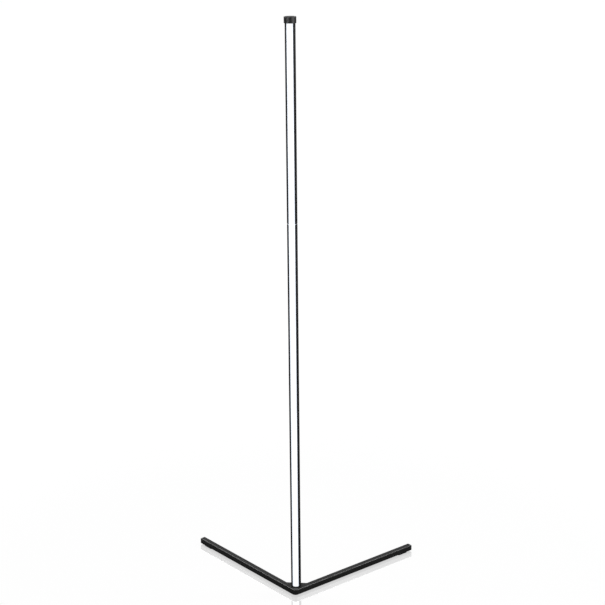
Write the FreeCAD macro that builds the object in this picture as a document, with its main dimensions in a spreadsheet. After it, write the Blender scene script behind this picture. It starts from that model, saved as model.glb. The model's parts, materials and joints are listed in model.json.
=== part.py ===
"""Corner floor lamp: a round light column in three plug-together sections on a V-shaped base.

Frame: millimetres, +Z up. The origin is on the column's axis at floor level. The light window faces -Y,
into the room corner. The base's two arms run back from its corner towards +X+Y and -X+Y.
"""

import FreeCAD, Part
import Sketcher
import math
import os

V = FreeCAD.Vector
Z_AXIS = V(0, 0, 1)
HALF_ROOT = math.sqrt(0.5)  # both arms run at 45 degrees to the lamp's plane of symmetry
ROOT_TWO = math.sqrt(2.0)
CLEAR = 1.0  # how far a cutting tool reaches past the faces that it cuts through
SAME = 1e-4  # two lengths closer than this are the same
LEAST_CUT = 0.01  # a pocket that takes away less than this volume cuts nothing
LEAD_SLACK = 0.01  # by how much the lead's volume may differ from that of a straight one as long

# Driving dimensions in millimetres and degrees: name, value, what it is.
DIMENSIONS = [
    ("pole_radius", 12.5, "outside radius of the column"),
    ("tube_wall", 1.4, "wall of the extruded column"),
    ("section_length", 473, "length of each of the three column sections"),
    ("lower_seam", 0.2, "gap between the lower and the middle section, held by the spigot's shoulder"),
    ("upper_seam", 1.6, "gap between the middle and the upper section, held by the spigot's shoulder"),
    ("window_half_angle", 36.8, "half the angle of the light window"),
    ("shelf_face", -1, "front face of the shelf that carries the light strip, along Y"),
    ("shelf_wall", 1.4, "thickness of that shelf"),
    ("rear_pad_face", 9.6, "inner face of the thick rear wall that takes the grub screws, along Y"),
    ("diffuser_wall", 1.55, "wall of the opal cover"),
    ("flange_wall", 1.2, "thickness of the cover's retaining flanges"),
    ("flange_inner_angle", 28, "where each flange starts, from the window's middle"),
    ("flange_outer_angle", 52, "where each flange ends, from the window's middle"),
    ("stop_rib_angle", 3, "angular width of the ribs that stop the cover turning"),
    ("stop_rib_depth", 1.6, "how far those ribs stand in from the wall"),
    ("window_play_angle", 0.4, "play between cover and window edge on each side"),
    ("slide_play", 0.15, "play of the cover's flanges behind the column wall"),
    ("diffuser_gap", 0.1, "hairline between two covers end to end"),
    ("stop_height", 2.4, "from the base's top to the lowest cover's foot, filled by the window's end stop"),
    ("stop_horn", 1.4, "how far the end stop's corners rise beside the cover's rounded foot"),
    ("cover_foot_round", 2.3, "rounding of the lowest cover's two lower corners"),
    ("spigot_play", 0.1, "play of a spigot in the rear channel, on each side"),
    ("spigot_reach", 40, "how far a spigot reaches into each section"),
    ("shoulder_inset", 0.6, "how far a spigot's shoulder stays inside the column's surface"),
    ("shoulder_width", 16, "width of that shoulder"),
    ("strip_width", 10, "width of the light strip's board"),
    ("strip_board", 1, "thickness of that board"),
    ("strip_margin", 4, "from a section's end to the end of its board"),
    ("led_size", 5, "side of one light-emitting diode package"),
    ("led_height", 1.6, "height of one package above the board"),
    ("led_pitch", 16.6667, "spacing of the packages along the board"),
    ("led_margin", 24, "from a section's end to the first package's middle"),
    ("plug_width", 9, "width of the board-to-board connectors"),
    ("plug_depth", 4.4, "how far the connectors stand off the board"),
    ("socket_length", 12, "length of the socket at a section's top"),
    ("header_length", 7, "length of the pin header at a section's bottom"),
    ("connector_inset", 0.6, "from a section's end to its connector"),
    ("pin_radius", 0.4, "radius of a contact pin"),
    ("pin_play", 0.1, "radial play of a pin in its hole"),
    ("pin_pitch", 2, "spacing of the contact pins"),
    ("pin_reach", 8, "how far the pins stand out of the header"),
    ("grub_radius", 2, "radius of the grub screws"),
    ("grub_inset", 0.4, "how far a grub screw sits below the surface"),
    ("grub_tip_gap", 0.05, "from a grub screw's tip to its spigot"),
    ("grub_height", 20, "from a section's end to its grub screw"),
    ("key_share", 0.6, "a grub screw's hexagon socket, as a share of the screw's radius"),
    ("key_depth", 1.2, "depth of a hexagon key socket"),
    ("cap_wall", 1.85, "wall of the top cap"),
    ("cap_height", 15, "height of the top cap"),
    ("cap_top_wall", 2.7, "thickness of the cap's top"),
    ("cap_play", 0.15, "play of the cap round the column"),
    ("cap_edge", 0.9, "rounding of the cap's top edge"),
    ("cap_rim_edge", 0.6, "rounding of the cap's lower rim"),
    ("plug_flange", 8, "height of the top plug's round flange"),
    ("plug_reach", 30, "how far the top plug reaches down the rear channel"),
    ("notch_radius", 2.8, "radius of the finger notch in the cap's rim"),
    ("notch_depth", 0.9, "depth of that notch"),
    ("notch_rise", 1.2, "height of the notch's centre above the cap's rim"),
    ("foot_height", 2.5, "thickness of the rubber feet"),
    ("bar_size", 15, "height and width of the base's square arms"),
    ("bar_wall", 1.5, "wall of the arm tubes"),
    ("bar_edge", 2.2, "rounding of the arms' long edges"),
    ("arm_reach", 400, "from the base's corner to the end of an arm, along its middle"),
    ("hub_leg", 80, "from the base's corner to the seam between hub and arm"),
    ("arm_seam", 0.3, "hairline between the hub and an arm"),
    ("web_corner", 2.5, "rounding where the web's rear face meets an arm"),
    ("corner_round", 11, "rounding of the base's outer corner"),
    ("web_reach", 36, "from the base's corner to the web's rear face, along Y"),
    ("pole_setback", 20, "from the base's corner to the column's axis, along Y"),
    ("socket_play", 0.2, "radial play of the column in its seat"),
    ("seat_depth", 2, "depth of the column's seat in the hub"),
    ("tenon_length", 30, "how far the hub's tenons reach into the arms"),
    ("tenon_play", 0.15, "play of a tenon or end cap in its arm, on each side"),
    ("end_cap_flange", 4, "thickness of an arm's end cap outside the tube"),
    ("end_cap_edge", 2.2, "rounding of an end cap's outer edges"),
    ("end_cap_reach", 14, "how far an end cap reaches into its tube"),
    ("end_cap_wall", 1.6, "wall of an end cap's hollow plug"),
    ("bolt_radius", 3, "radius of the bolt that holds the column"),
    ("bolt_play", 0.3, "radial play of that bolt in the hub"),
    ("bolt_offset", 5, "from the column's axis back to the bolt, along Y"),
    ("bolt_length", 24, "length of the bolt under its head"),
    ("bolt_head_radius", 5, "radius of the bolt's head"),
    ("bolt_head_height", 5, "height of the bolt's head"),
    ("head_play", 0.5, "radial play round the bolt's head"),
    ("head_recess", 6.5, "depth of the bolt head's recess above the cover's seat"),
    ("bolt_key_radius", 2.9, "corner radius of the bolt's hexagon socket"),
    ("bolt_key_depth", 3, "depth of the bolt's hexagon socket"),
    ("foot_plug_reach", 40, "length of the threaded bar in the column's foot"),
    ("cover_wall", 1.5, "thickness of the hub's bottom cover"),
    ("cover_play", 0.2, "play round the bottom cover"),
    ("cover_inset", 4, "from the hub's outer faces to the bottom cover"),
    ("cover_rear_inset", 3, "from the web's rear face to the bottom cover"),
    ("cover_half_width", 30, "half the width of the bottom cover"),
    ("cover_corner", 3, "rounding of the bottom cover's corners"),
    ("cover_screw_side", 25.5, "from the middle to the two rear cover screws"),
    ("cover_screw_rear", 7.5, "from the web's rear face to those screws"),
    ("cover_screw_front", 18.5, "from the column's axis forward to the front cover screw"),
    ("roof_wall", 1.5, "roof of the wiring channel under the column's seat"),
    ("channel_front", 10, "from the column's axis forward to the wiring channel's front wall"),
    ("channel_left", 4, "from the column's axis to the wiring channel's left end"),
    ("channel_side", 6.2, "half the wiring channel's width at the power jack"),
    ("boss_wall", 2, "wall between the bolt's recess and the wiring channel"),
    ("rear_wall", 3.5, "wall between the wiring channel and the web's rear face"),
    ("jack_offset", 14.5, "from the column's axis sideways to the power jack"),
    ("jack_height", 7, "from the hub's underside to the power jack's axis"),
    ("jack_radius", 3.6, "radius of the power jack's barrel"),
    ("jack_flange_radius", 4.7, "radius of the power jack's outer flange"),
    ("jack_flange", 1.2, "thickness of that flange"),
    ("jack_length", 13, "length of the jack's barrel behind the flange"),
    ("jack_bore", 2.8, "radius of the jack's mouth"),
    ("jack_bore_depth", 9.5, "depth of the jack's mouth"),
    ("jack_pin_radius", 1.05, "radius of the jack's centre pin"),
    ("jack_pin_inset", 1.5, "from the jack's mouth in to its centre pin"),
    ("jack_nut_radius", 5, "corner radius of the jack's hexagon nut"),
    ("jack_nut_height", 2, "thickness of that nut"),
    ("wall_play", 0.1, "radial play of the power jack in its hole"),
    ("wire_hole_radius", 2.2, "radius of the cable hole under the column"),
    ("lead_radius", 1, "radius of the lead inside the base"),
    ("lead_bend", 4.5, "bend radius of that lead along its middle"),
    ("small_screw_radius", 1.5, "radius of the cover and arm screws"),
    ("small_head_radius", 2.8, "head radius of the cover and arm screws"),
    ("small_head_height", 1.2, "height of their countersunk heads"),
    ("small_key_radius", 1.1, "corner radius of their hexagon sockets"),
    ("small_key_depth", 0.9, "depth of their hexagon sockets"),
    ("countersink_play", 0.1, "radial play round a countersunk head"),
    ("cover_screw_length", 7, "length of the cover screws"),
    ("arm_screw_length", 9, "length of the arm screws"),
    ("thread_spare", 1, "depth of a threaded hole beyond its screw's tip"),
    ("arm_screw_first", 8, "from the seam between hub and arm to the first arm screw"),
    ("arm_screw_pitch", 14, "spacing of an arm's two screws"),
    ("screw_play", 0.05, "radial play of a screw in the piece it cuts into"),
    ("corner_foot_radius", 12, "radius of the round foot under the column"),
    ("foot_edge", 0.5, "rounding of the feet's lower edges"),
    ("arm_foot_width", 11, "width of the feet under the arms"),
    ("arm_foot_length", 30, "length of the feet under the arms"),
    ("arm_foot_corner", 3, "rounding of those feet in plan"),
    ("arm_foot_inset", 12, "from an arm tube's end to its foot"),
]


class Size(float):
    """A number that also knows the spreadsheet expression it comes from."""

    def __new__(cls, value, text):
        made = float.__new__(cls, value)
        made.text = text
        return made

    def __add__(self, other):
        return Size(float(self) + float(other), f"({self.text} + {text_of(other)})")

    def __sub__(self, other):
        return Size(float(self) - float(other), f"({self.text} - {text_of(other)})")

    def __mul__(self, other):
        return Size(float(self) * float(other), f"({self.text} * {text_of(other)})")

    def __truediv__(self, other):
        return Size(float(self) / float(other), f"({self.text} / {text_of(other)})")

    def __radd__(self, other):
        return Size(float(other) + float(self), f"({text_of(other)} + {self.text})")

    def __rsub__(self, other):
        return Size(float(other) - float(self), f"({text_of(other)} - {self.text})")

    def __rmul__(self, other):
        return Size(float(other) * float(self), f"({text_of(other)} * {self.text})")

    def __neg__(self):
        return Size(-float(self), f"(0 - {self.text})")


def text_of(value):
    """The expression text of a size or of a plain number."""
    return value.text if isinstance(value, Size) else repr(float(value))


def sine(angle):
    """The sine of an angle in degrees."""
    return Size(math.sin(math.radians(angle)), f"sin({text_of(angle)})")


doc = FreeCAD.newDocument("corner_floor_lamp")
sheet = doc.addObject("Spreadsheet::Sheet", "sizes")


def fill_sheet():
    """Writes the driving dimensions into the sheet and gives them back by name."""
    found = {}
    for row, (name, value, meaning) in enumerate(DIMENSIONS, start=1):
        sheet.set(f"A{row}", name)
        sheet.set(f"B{row}", str(value))
        sheet.set(f"C{row}", meaning)
        sheet.setAlias(f"B{row}", name)
        found[name] = Size(value, f"sizes.{name}")
    doc.recompute()
    return found


class Named:
    """Gives each driving dimension as an attribute."""

    def __init__(self, values):
        self.__dict__.update(values)


s = Named(fill_sheet())
PARTS = []  # the document objects that become the part's nodes, in order


def finished(made, label):
    """Names a sub-part and keeps it for export."""
    made.Label = label
    PARTS.append(made)
    return made


# ---------------------------------------------------------------- primitives and booleans


def bind(target, path, value):
    """Sets a property, and ties it to the sheet if its value comes from there."""
    if isinstance(value, Size):
        target.setExpression(path, value.text)


def place(target, at=(0, 0, 0), turn=0, axis=Z_AXIS):
    """Puts an object at a point, turned about an axis, both tied to the sheet."""
    target.Placement = FreeCAD.Placement(V(*at), FreeCAD.Rotation(axis, float(turn)))
    for letter, value in zip("xyz", at):
        bind(target, f"Placement.Base.{letter}", value)
    bind(target, "Placement.Rotation.Angle", turn)
    return target


def cylinder(radius, height, at=(0, 0, 0), sector=360, turn=0):
    """An upright cylinder, or a sector of one that starts at an angle from +X."""
    made = doc.addObject("Part::Cylinder", "cylinder")
    made.Radius = radius
    made.Height = height
    made.Angle = float(sector)
    bind(made, "Radius", radius)
    bind(made, "Height", height)
    bind(made, "Angle", sector)
    return place(made, at, turn)


def cone(low_radius, high_radius, height, at):
    """An upright cone cut off at both ends."""
    made = doc.addObject("Part::Cone", "cone")
    for name, value in (("Radius1", low_radius), ("Radius2", high_radius), ("Height", height)):
        setattr(made, name, value)
        bind(made, name, value)
    return place(made, at)


def lie_along_y(made, forwards=False):
    """Turns an upright primitive about its foot, to point back (+Y) or forwards (-Y)."""
    made.Placement.Rotation = FreeCAD.Rotation(V(1, 0, 0), 90 if forwards else -90)


def box(low, high):
    """A box from its lowest to its highest corner."""
    made = doc.addObject("Part::Box", "box")
    for name, a, b in zip(("Length", "Width", "Height"), low, high):
        setattr(made, name, b - a)
        bind(made, name, b - a)
    return place(made, low)


def cut(base, tool):
    made = doc.addObject("Part::Cut", "cut")
    made.Base = base
    made.Tool = tool
    return made


def fuse(*shapes):
    made = doc.addObject("Part::MultiFuse", "fuse")
    made.Shapes = list(shapes)
    made.Refine = True
    return made


def common(a, b):
    made = doc.addObject("Part::Common", "common")
    made.Base = a
    made.Tool = b
    return made


# ---------------------------------------------------------------- bodies made from sketches


def new_body():
    return doc.addObject("PartDesign::Body", "body")


def new_sketch(body, plane, offset=0):
    """A sketch on one of the body's own origin planes, shifted along the plane's normal."""
    made = body.newObject("Sketcher::SketchObject", "sketch")
    origin_plane = [f for f in body.Origin.OriginFeatures if f.Role == plane][0]
    made.AttachmentSupport = [(origin_plane, "")]
    made.MapMode = "FlatFace"
    made.AttachmentOffset = FreeCAD.Placement(V(0, 0, offset), FreeCAD.Rotation())
    bind(made, "AttachmentOffset.Base.z", offset)
    return made


def fix_point(sketch, geometry, point, at):
    """Ties one point of a sketch to the sheet by its distances from the sketch's origin."""
    for kind, value in zip(("DistanceX", "DistanceY"), at):
        number = sketch.addConstraint(Sketcher.Constraint(kind, -1, 1, geometry, point, float(value)))
        if isinstance(value, Size):
            sketch.setExpression(f"Constraints[{number}]", value.text)


def draw_polygon(sketch, corners):
    """A closed outline through corners, each tied to the sheet."""
    first = sketch.GeometryCount
    points = [V(float(x), float(y), 0) for x, y in corners]
    for here, there in zip(points, points[1:] + points[:1]):
        sketch.addGeometry(Part.LineSegment(here, there), False)
    count = len(corners)
    for step in range(count):
        follower = first + (step + 1) % count
        sketch.addConstraint(Sketcher.Constraint("Coincident", first + step, 2, follower, 1))
    for step, corner in enumerate(corners):
        fix_point(sketch, first + step, 1, corner)


def draw_circle(sketch, centre, radius):
    """A circle whose centre and radius are tied to the sheet."""
    number = sketch.addGeometry(
        Part.Circle(V(float(centre[0]), float(centre[1]), 0), Z_AXIS, float(radius)), False
    )
    fix_point(sketch, number, 3, centre)
    ring = sketch.addConstraint(Sketcher.Constraint("Radius", number, float(radius)))
    if isinstance(radius, Size):
        sketch.setExpression(f"Constraints[{ring}]", radius.text)


def feature(body, kind, sketch, length, backwards):
    """A pad or pocket on a sketch. Backwards turns it to the other side of the sketch."""
    made = body.newObject(kind, kind.split("::")[1].lower())
    made.Profile = sketch
    made.Reversed = backwards
    made.Length = length
    bind(made, "Length", length)
    doc.recompute()
    return made


def pad(body, sketch, length, backwards=False):
    return feature(body, "PartDesign::Pad", sketch, length, backwards)


def pocket(body, sketch, length, backwards=False):
    """A pocket, checked for having cut something away."""
    before = body.Shape.Volume
    made = feature(body, "PartDesign::Pocket", sketch, length, backwards)
    if not body.Shape.Volume < before - LEAST_CUT:
        raise RuntimeError(f"a pocket in {body.Label} cuts nothing")
    return made


def revolve(body, sketch):
    """Turns a sketch's outline a full turn about the sketch's vertical axis."""
    made = body.newObject("PartDesign::Revolution", "revolution")
    made.Profile = sketch
    made.ReferenceAxis = (sketch, ["V_Axis"])
    made.Angle = 360.0
    doc.recompute()
    return made


def round_edges(body, radius, test):
    """A fillet on the body's edges that pass a test of five points along each."""
    names = []
    for number, edge in enumerate(body.Shape.Edges, start=1):
        if test(edge.discretize(5)):
            names.append(f"Edge{number}")
    if not names:
        raise RuntimeError("no edge of the body is where a rounding belongs")
    rounded = body.Tip
    made = body.newObject("PartDesign::Fillet", "fillet")
    made.Base = (rounded, names)
    made.Radius = radius
    bind(made, "Radius", radius)
    doc.recompute()
    return made


def every(test):
    """A test of an edge that wants all its points to pass a test of one point."""
    return lambda points: all(test(p) for p in points)


def near(a, b):
    return abs(float(a) - float(b)) < SAME


def copies(label, shape, places):
    """One node that holds the same solid at several places."""
    made = doc.addObject("Part::Feature", "copies")
    solids = []
    for at in places:
        solid = shape.copy()
        solid.Placement = at.multiply(shape.Placement)
        solids.append(solid)
    made.Shape = Part.makeCompound(solids)
    return finished(made, label)


# ---------------------------------------------------------------- levels and places

base_top = s.foot_height + s.bar_size
column_foot = base_top - s.seat_depth
corner_y = -s.pole_setback  # the base's corner is where the middles of its two arms meet
web_y = corner_y + s.web_reach
tube_bore = s.pole_radius - s.tube_wall
channel_low = s.shelf_face + s.shelf_wall
channel_high = s.rear_pad_face
cover_seat = s.foot_height + s.cover_wall
window_start = 270 - s.window_half_angle


seams = (s.lower_seam, s.upper_seam)  # the gap above section 0, and above section 1


def section_foot(number):
    """Height of a column section's lower end. The lowest section is number 0."""
    foot = column_foot + s.section_length * number
    for seam in seams[:number]:
        foot = foot + seam
    return foot


column_top = section_foot(2) + s.section_length
cover_foot = base_top + s.stop_height
cap_top = column_top + s.plug_flange + s.cap_top_wall
cap_foot = cap_top - s.cap_height
cap_bore = s.pole_radius + s.cap_play
cap_radius = cap_bore + s.cap_wall


def along_arm(side, along, across=0.0):
    """A point on an arm: its distance from the corner, and outwards from the arm's middle.

    Side is 1 for the arm towards +X and -1 for the arm towards -X.
    """
    x = side * HALF_ROOT * (along + across)
    y = corner_y + HALF_ROOT * (along - across)
    return x, y


# ---------------------------------------------------------------- column sections


def ring_sector(outer, inner, height, foot, start, sector):
    """Part of a round wall, from a start angle, counted from +X."""
    return cut(
        cylinder(outer, height, (0, 0, foot), sector, start),
        cylinder(inner, height, (0, 0, foot)),
    )


def grub_hole(level):
    """A tool for a grub screw's hole, from the channel out through the rear wall."""
    length = s.pole_radius - s.rear_pad_face + CLEAR * 2
    made = cylinder(s.grub_radius + s.screw_play, length, (0, s.rear_pad_face - CLEAR, level))
    lie_along_y(made)
    return made


def column_tube(label, number):
    """Extruded round column with a front window, a shelf for the light strip and a rear channel."""
    foot = section_foot(number)
    long = s.section_length
    full = s.window_half_angle * 2
    wall = cut(cylinder(s.pole_radius, long, (0, 0, foot)), cylinder(tube_bore, long, (0, 0, foot)))
    window = cylinder(s.pole_radius + CLEAR, long, (0, 0, foot), full, window_start)
    inner = s.pole_radius - s.tube_wall / 2  # the inner ribs run half way into the wall
    low, high = -s.pole_radius, s.pole_radius
    shelf = common(
        box((low, s.shelf_face, foot), (high, channel_low, foot + long)),
        cylinder(inner, long, (0, 0, foot)),
    )
    rear_pad = common(
        box((low, channel_high, foot), (high, s.pole_radius, foot + long)),
        cylinder(inner, long, (0, 0, foot)),
    )
    rib_inner = tube_bore - s.stop_rib_depth
    rib_start = s.flange_outer_angle + s.window_play_angle
    left_rib = ring_sector(inner, rib_inner, long, foot, 270 + rib_start, s.stop_rib_angle)
    right_start = 270 - rib_start - s.stop_rib_angle
    right_rib = ring_sector(inner, rib_inner, long, foot, right_start, s.stop_rib_angle)
    solid = fuse(cut(wall, window), shelf, rear_pad, left_rib, right_rib)
    lower_hole = grub_hole(foot + s.grub_height)
    upper_hole = grub_hole(foot + long - s.grub_height)
    return finished(cut(solid, fuse(lower_hole, upper_hole)), label)


def window_face(foot, top):
    """A round wall that fills the window, flush with the column."""
    half = s.window_half_angle - s.window_play_angle
    face_inner = s.pole_radius - s.diffuser_wall
    return ring_sector(s.pole_radius, face_inner, top - foot, foot, 270 - half, half * 2)


def window_flanges(foot, top):
    """The flanges that hold a piece in the window: one behind each of the window's edges."""
    outer = tube_bore - s.slide_play
    inner = outer - s.flange_wall
    spread = s.flange_outer_angle - s.flange_inner_angle
    left = ring_sector(outer, inner, top - foot, foot, 270 + s.flange_inner_angle, spread)
    right = ring_sector(outer, inner, top - foot, foot, 270 - s.flange_outer_angle, spread)
    return [left, right]


def round_footed_plate(grown, top):
    """An upright plate over the window with two rounded lower corners, grown all round by a gap."""
    side = s.pole_radius * sine(s.window_half_angle - s.window_play_angle) + grown
    radius = s.cover_foot_round + grown
    front = -s.pole_radius - CLEAR
    foot = cover_foot - grown
    above = foot + radius
    inside = side - radius
    pieces = [
        box((-side, front, above), (side, 0, top)),
        box((-inside, front, foot), (inside, 0, above)),
    ]
    for x in (-inside, inside):
        corner = cylinder(radius, -front, (x, front, above))
        lie_along_y(corner)
        pieces.append(corner)
    return fuse(*pieces)


def diffuser(label, number):
    """Opal cover. Its ends reach the middle of the seams, where the next covers begin."""
    foot = section_foot(number)
    top = foot + s.section_length
    if number < 2:
        top = top + (seams[number] - s.diffuser_gap) / 2
    if number > 0:
        foot = foot - (seams[number - 1] - s.diffuser_gap) / 2
        face = window_face(foot, top)
    else:
        foot = cover_foot
        face = common(window_face(foot, top), round_footed_plate(0, top))
    return finished(fuse(face, *window_flanges(foot, top)), label)


def window_end_stop():
    """Black piece that fills the window's lowest end, under the lowest cover and round its corners."""
    top = cover_foot + s.stop_horn
    seat = round_footed_plate(s.diffuser_gap, top + CLEAR)
    face = cut(window_face(column_foot, top), seat)
    flanges = window_flanges(column_foot, cover_foot - s.diffuser_gap)
    return finished(fuse(face, *flanges), "window_end_stop")


def channel_bar(foot, top, play):
    """A bar that fills the column's rear channel with play all round."""
    radius = tube_bore - play
    return common(
        box((-s.pole_radius, channel_low + play, foot), (s.pole_radius, channel_high - play, top)),
        cylinder(radius, top - foot, (0, 0, foot)),
    )


def spigot(label, number):
    """Bar that joins a section to the one above, with a thin shoulder between the two."""
    seam = seams[number]
    joint = section_foot(number) + s.section_length
    radius = s.pole_radius - s.shoulder_inset
    half = s.shoulder_width / 2
    shoulder = common(
        box((-half, s.shelf_face, joint), (half, s.pole_radius, joint + seam)),
        cylinder(radius, seam, (0, 0, joint)),
    )
    bar = channel_bar(joint - s.spigot_reach, joint + seam + s.spigot_reach, s.spigot_play)
    return finished(fuse(bar, shoulder), label)


def strip_board(label, number):
    """The light strip's board on the column's shelf."""
    foot = section_foot(number) + s.strip_margin
    top = section_foot(number) + s.section_length - s.strip_margin
    half = s.strip_width / 2
    face = s.shelf_face - s.strip_board
    return finished(box((-half, face, foot), (half, s.shelf_face, top)), label)


def leds(label, number):
    """The row of light-emitting diodes on a board."""
    face = s.shelf_face - s.strip_board
    run = s.section_length - s.led_margin * 2
    count = int(float(run) / float(s.led_pitch)) + 1
    first = section_foot(number) + s.section_length / 2 - s.led_pitch * (count - 1) / 2
    half = s.led_size / 2
    package = Part.makeBox(
        float(s.led_size), float(s.led_height), float(s.led_size), V(-half, face - s.led_height, -half)
    )
    places = [FreeCAD.Placement(V(0, 0, first + s.led_pitch * n), FreeCAD.Rotation()) for n in range(count)]
    return copies(label, package, places)


def pin_places():
    """Sideways places of the four contact pins, evenly about the middle."""
    return [s.pin_pitch * (n - 1.5) for n in range(4)]


def connector_depths():
    """A connector's front, middle and back along Y, on its board."""
    back = s.shelf_face - s.strip_board
    return back - s.plug_depth, back - s.plug_depth / 2, back


def socket(label, number):
    """Four-way socket at a section's top, on its board."""
    top = section_foot(number) + s.section_length - s.connector_inset
    front, middle, back = connector_depths()
    half = s.plug_width / 2
    block = box((-half, front, top - s.socket_length), (half, back, top))
    depth = s.pin_reach + s.connector_inset
    radius = s.pin_radius + s.pin_play
    holes = [cylinder(radius, depth, (x, middle, top - depth)) for x in pin_places()]
    return finished(cut(block, fuse(*holes)), label)


def pin_header(label, number):
    """Four-way pin header at a section's bottom, on its board, with pins into the socket below."""
    foot = section_foot(number) + s.connector_inset
    front, middle, back = connector_depths()
    half = s.plug_width / 2
    block = box((-half, front, foot), (half, back, foot + s.header_length))
    pins = [
        cylinder(s.pin_radius, s.pin_reach + s.header_length / 2, (x, middle, foot - s.pin_reach))
        for x in pin_places()
    ]
    return finished(fuse(block, *pins), label)


def turned_piece(outline):
    """A solid of revolution about Z from an outline of radius and height pairs, as a plain shape."""
    points = [V(float(r), 0, float(z)) for r, z in outline]
    face = Part.Face(Part.makePolygon(points + points[:1]))
    return face.revolve(V(0, 0, 0), Z_AXIS, 360)


def hexagon(radius, height, foot):
    """A hexagonal prism about Z, as a plain shape."""
    points = [
        V(radius * math.cos(math.radians(60 * n)), radius * math.sin(math.radians(60 * n)), float(foot))
        for n in range(7)
    ]
    return Part.Face(Part.makePolygon(points)).extrude(V(0, 0, float(height)))


def grub_screws(label, levels):
    """Grub screws in the column's rear wall, each with a hexagon socket."""
    tip = s.rear_pad_face - s.spigot_play + s.grub_tip_gap
    length = s.pole_radius - s.grub_inset - tip
    screw = Part.makeCylinder(float(s.grub_radius), float(length))
    screw = screw.cut(hexagon(s.grub_radius * s.key_share, s.key_depth + CLEAR, length - s.key_depth))
    lying = FreeCAD.Rotation(V(1, 0, 0), -90)
    places = [FreeCAD.Placement(V(0, float(tip), float(level)), lying) for level in levels]
    return copies(label, screw, places)


# ---------------------------------------------------------------- top cap and plug


def top_plug():
    """Plug in the top section's end: a bar in the rear channel under a round flange."""
    bar = channel_bar(column_top - s.plug_reach, column_top, s.spigot_play)
    flange = cylinder(s.pole_radius, s.plug_flange, (0, 0, column_top))
    return finished(fuse(bar, flange), "top_plug")


def top_cap():
    """Round cap over the column's top, with a finger notch at the front of its rim."""
    body = new_body()
    inner_top = cap_top - s.cap_top_wall
    outline = new_sketch(body, "XZ_Plane")
    corners = [
        (cap_bore, cap_foot),
        (cap_radius, cap_foot),
        (cap_radius, cap_top),
        (0.0, cap_top),
        (0.0, inner_top),
        (cap_bore, inner_top),
    ]
    draw_polygon(outline, corners)
    revolve(body, outline)
    round_edges(body, s.cap_edge, every(lambda p: near(p.z, cap_top)))

    def outer_rim(p):
        return near(p.z, cap_foot) and near(math.hypot(p.x, p.y), cap_radius)

    round_edges(body, s.cap_rim_edge, every(outer_rim))
    notch_end = s.notch_depth - cap_radius
    notch = cylinder(s.notch_radius, s.notch_depth + CLEAR, (0, notch_end, cap_foot + s.notch_rise))
    lie_along_y(notch, forwards=True)
    return finished(cut(body, notch), "top_cap")


# ---------------------------------------------------------------- base: hub and cover

outer_corner_y = corner_y - s.bar_size / 2 * ROOT_TWO
web_half_width = s.web_reach - s.bar_size / 2 * ROOT_TWO
channel_top = column_foot - s.roof_wall
recess_top = cover_seat + s.head_recess
tenon_side = s.bar_size - s.bar_wall * 2 - s.tenon_play * 2
bar_middle = s.foot_height + s.bar_size / 2
wire_hole_y = s.shelf_face - s.strip_board - s.plug_depth / 2
cover_screw_places = [
    (s.cover_screw_side, web_y - s.cover_screw_rear),
    (-s.cover_screw_side, web_y - s.cover_screw_rear),
    (0, -s.cover_screw_front),
]
arm_screw_distances = [s.hub_leg + s.arm_screw_first + s.arm_screw_pitch * n for n in range(2)]


def hub_outline():
    """The hub in plan: a right-angled V with a stub on each side and a web across its inner corner."""
    half = s.bar_size / 2
    right = [
        along_arm(1, s.hub_leg, half),
        along_arm(1, s.hub_leg, -half),
        (web_half_width, web_y),
    ]
    left = [(-x, y) for x, y in reversed(right)]
    return [(0.0, outer_corner_y)] + right + left


def cover_outline(grown):
    """The bottom cover in plan, grown all round by a play."""
    reach = s.bar_size / 2 - s.cover_inset + grown
    front = corner_y - reach * ROOT_TWO
    side = s.cover_half_width + grown
    rear = web_y - s.cover_rear_inset + grown
    return [(0.0, front), (side, front + side), (side, rear), (-side, rear), (-side, front + side)]


def at_seam(p):
    """Whether a point lies on the face where an arm meets the hub."""
    along = (abs(p.x) + p.y - float(corner_y)) * HALF_ROOT
    return near(along, s.hub_leg)


def hub_solid():
    """The outside of the hub with its tenons."""
    body = new_body()
    plan = new_sketch(body, "XY_Plane", s.foot_height)
    draw_polygon(plan, hub_outline())
    pad(body, plan, s.bar_size)
    round_edges(body, s.corner_round, every(lambda p: near(p.x, 0) and near(p.y, outer_corner_y)))
    round_edges(body, s.web_corner, every(lambda p: near(abs(p.x), web_half_width) and near(p.y, web_y)))

    def long_edge(points):
        level = all(near(p.z, s.foot_height) or near(p.z, base_top) for p in points)
        return level and not all(at_seam(p) for p in points)

    round_edges(body, s.bar_edge, long_edge)
    half = tenon_side / 2
    tenons = new_sketch(body, "XY_Plane", bar_middle - half)
    for side in (1, -1):
        start, end = s.hub_leg - CLEAR, s.hub_leg + s.tenon_length
        corners = [(start, half), (start, -half), (end, -half), (end, half)]
        draw_polygon(tenons, [along_arm(side, along, across) for along, across in corners])
    pad(body, tenons, tenon_side)
    return body


def channel_outline():
    """The wiring channel in plan: round the power jack, then across to the cable hole."""
    boss_front = s.bolt_offset - s.bolt_head_radius - s.head_play - s.boss_wall
    near_side = s.jack_offset - s.channel_side
    far_side = s.jack_offset + s.channel_side
    rear = web_y - s.rear_wall
    return [
        (-s.channel_left, -s.channel_front),
        (far_side, -s.channel_front),
        (far_side, rear),
        (near_side, rear),
        (near_side, boss_front),
        (-s.channel_left, boss_front),
    ]


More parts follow.
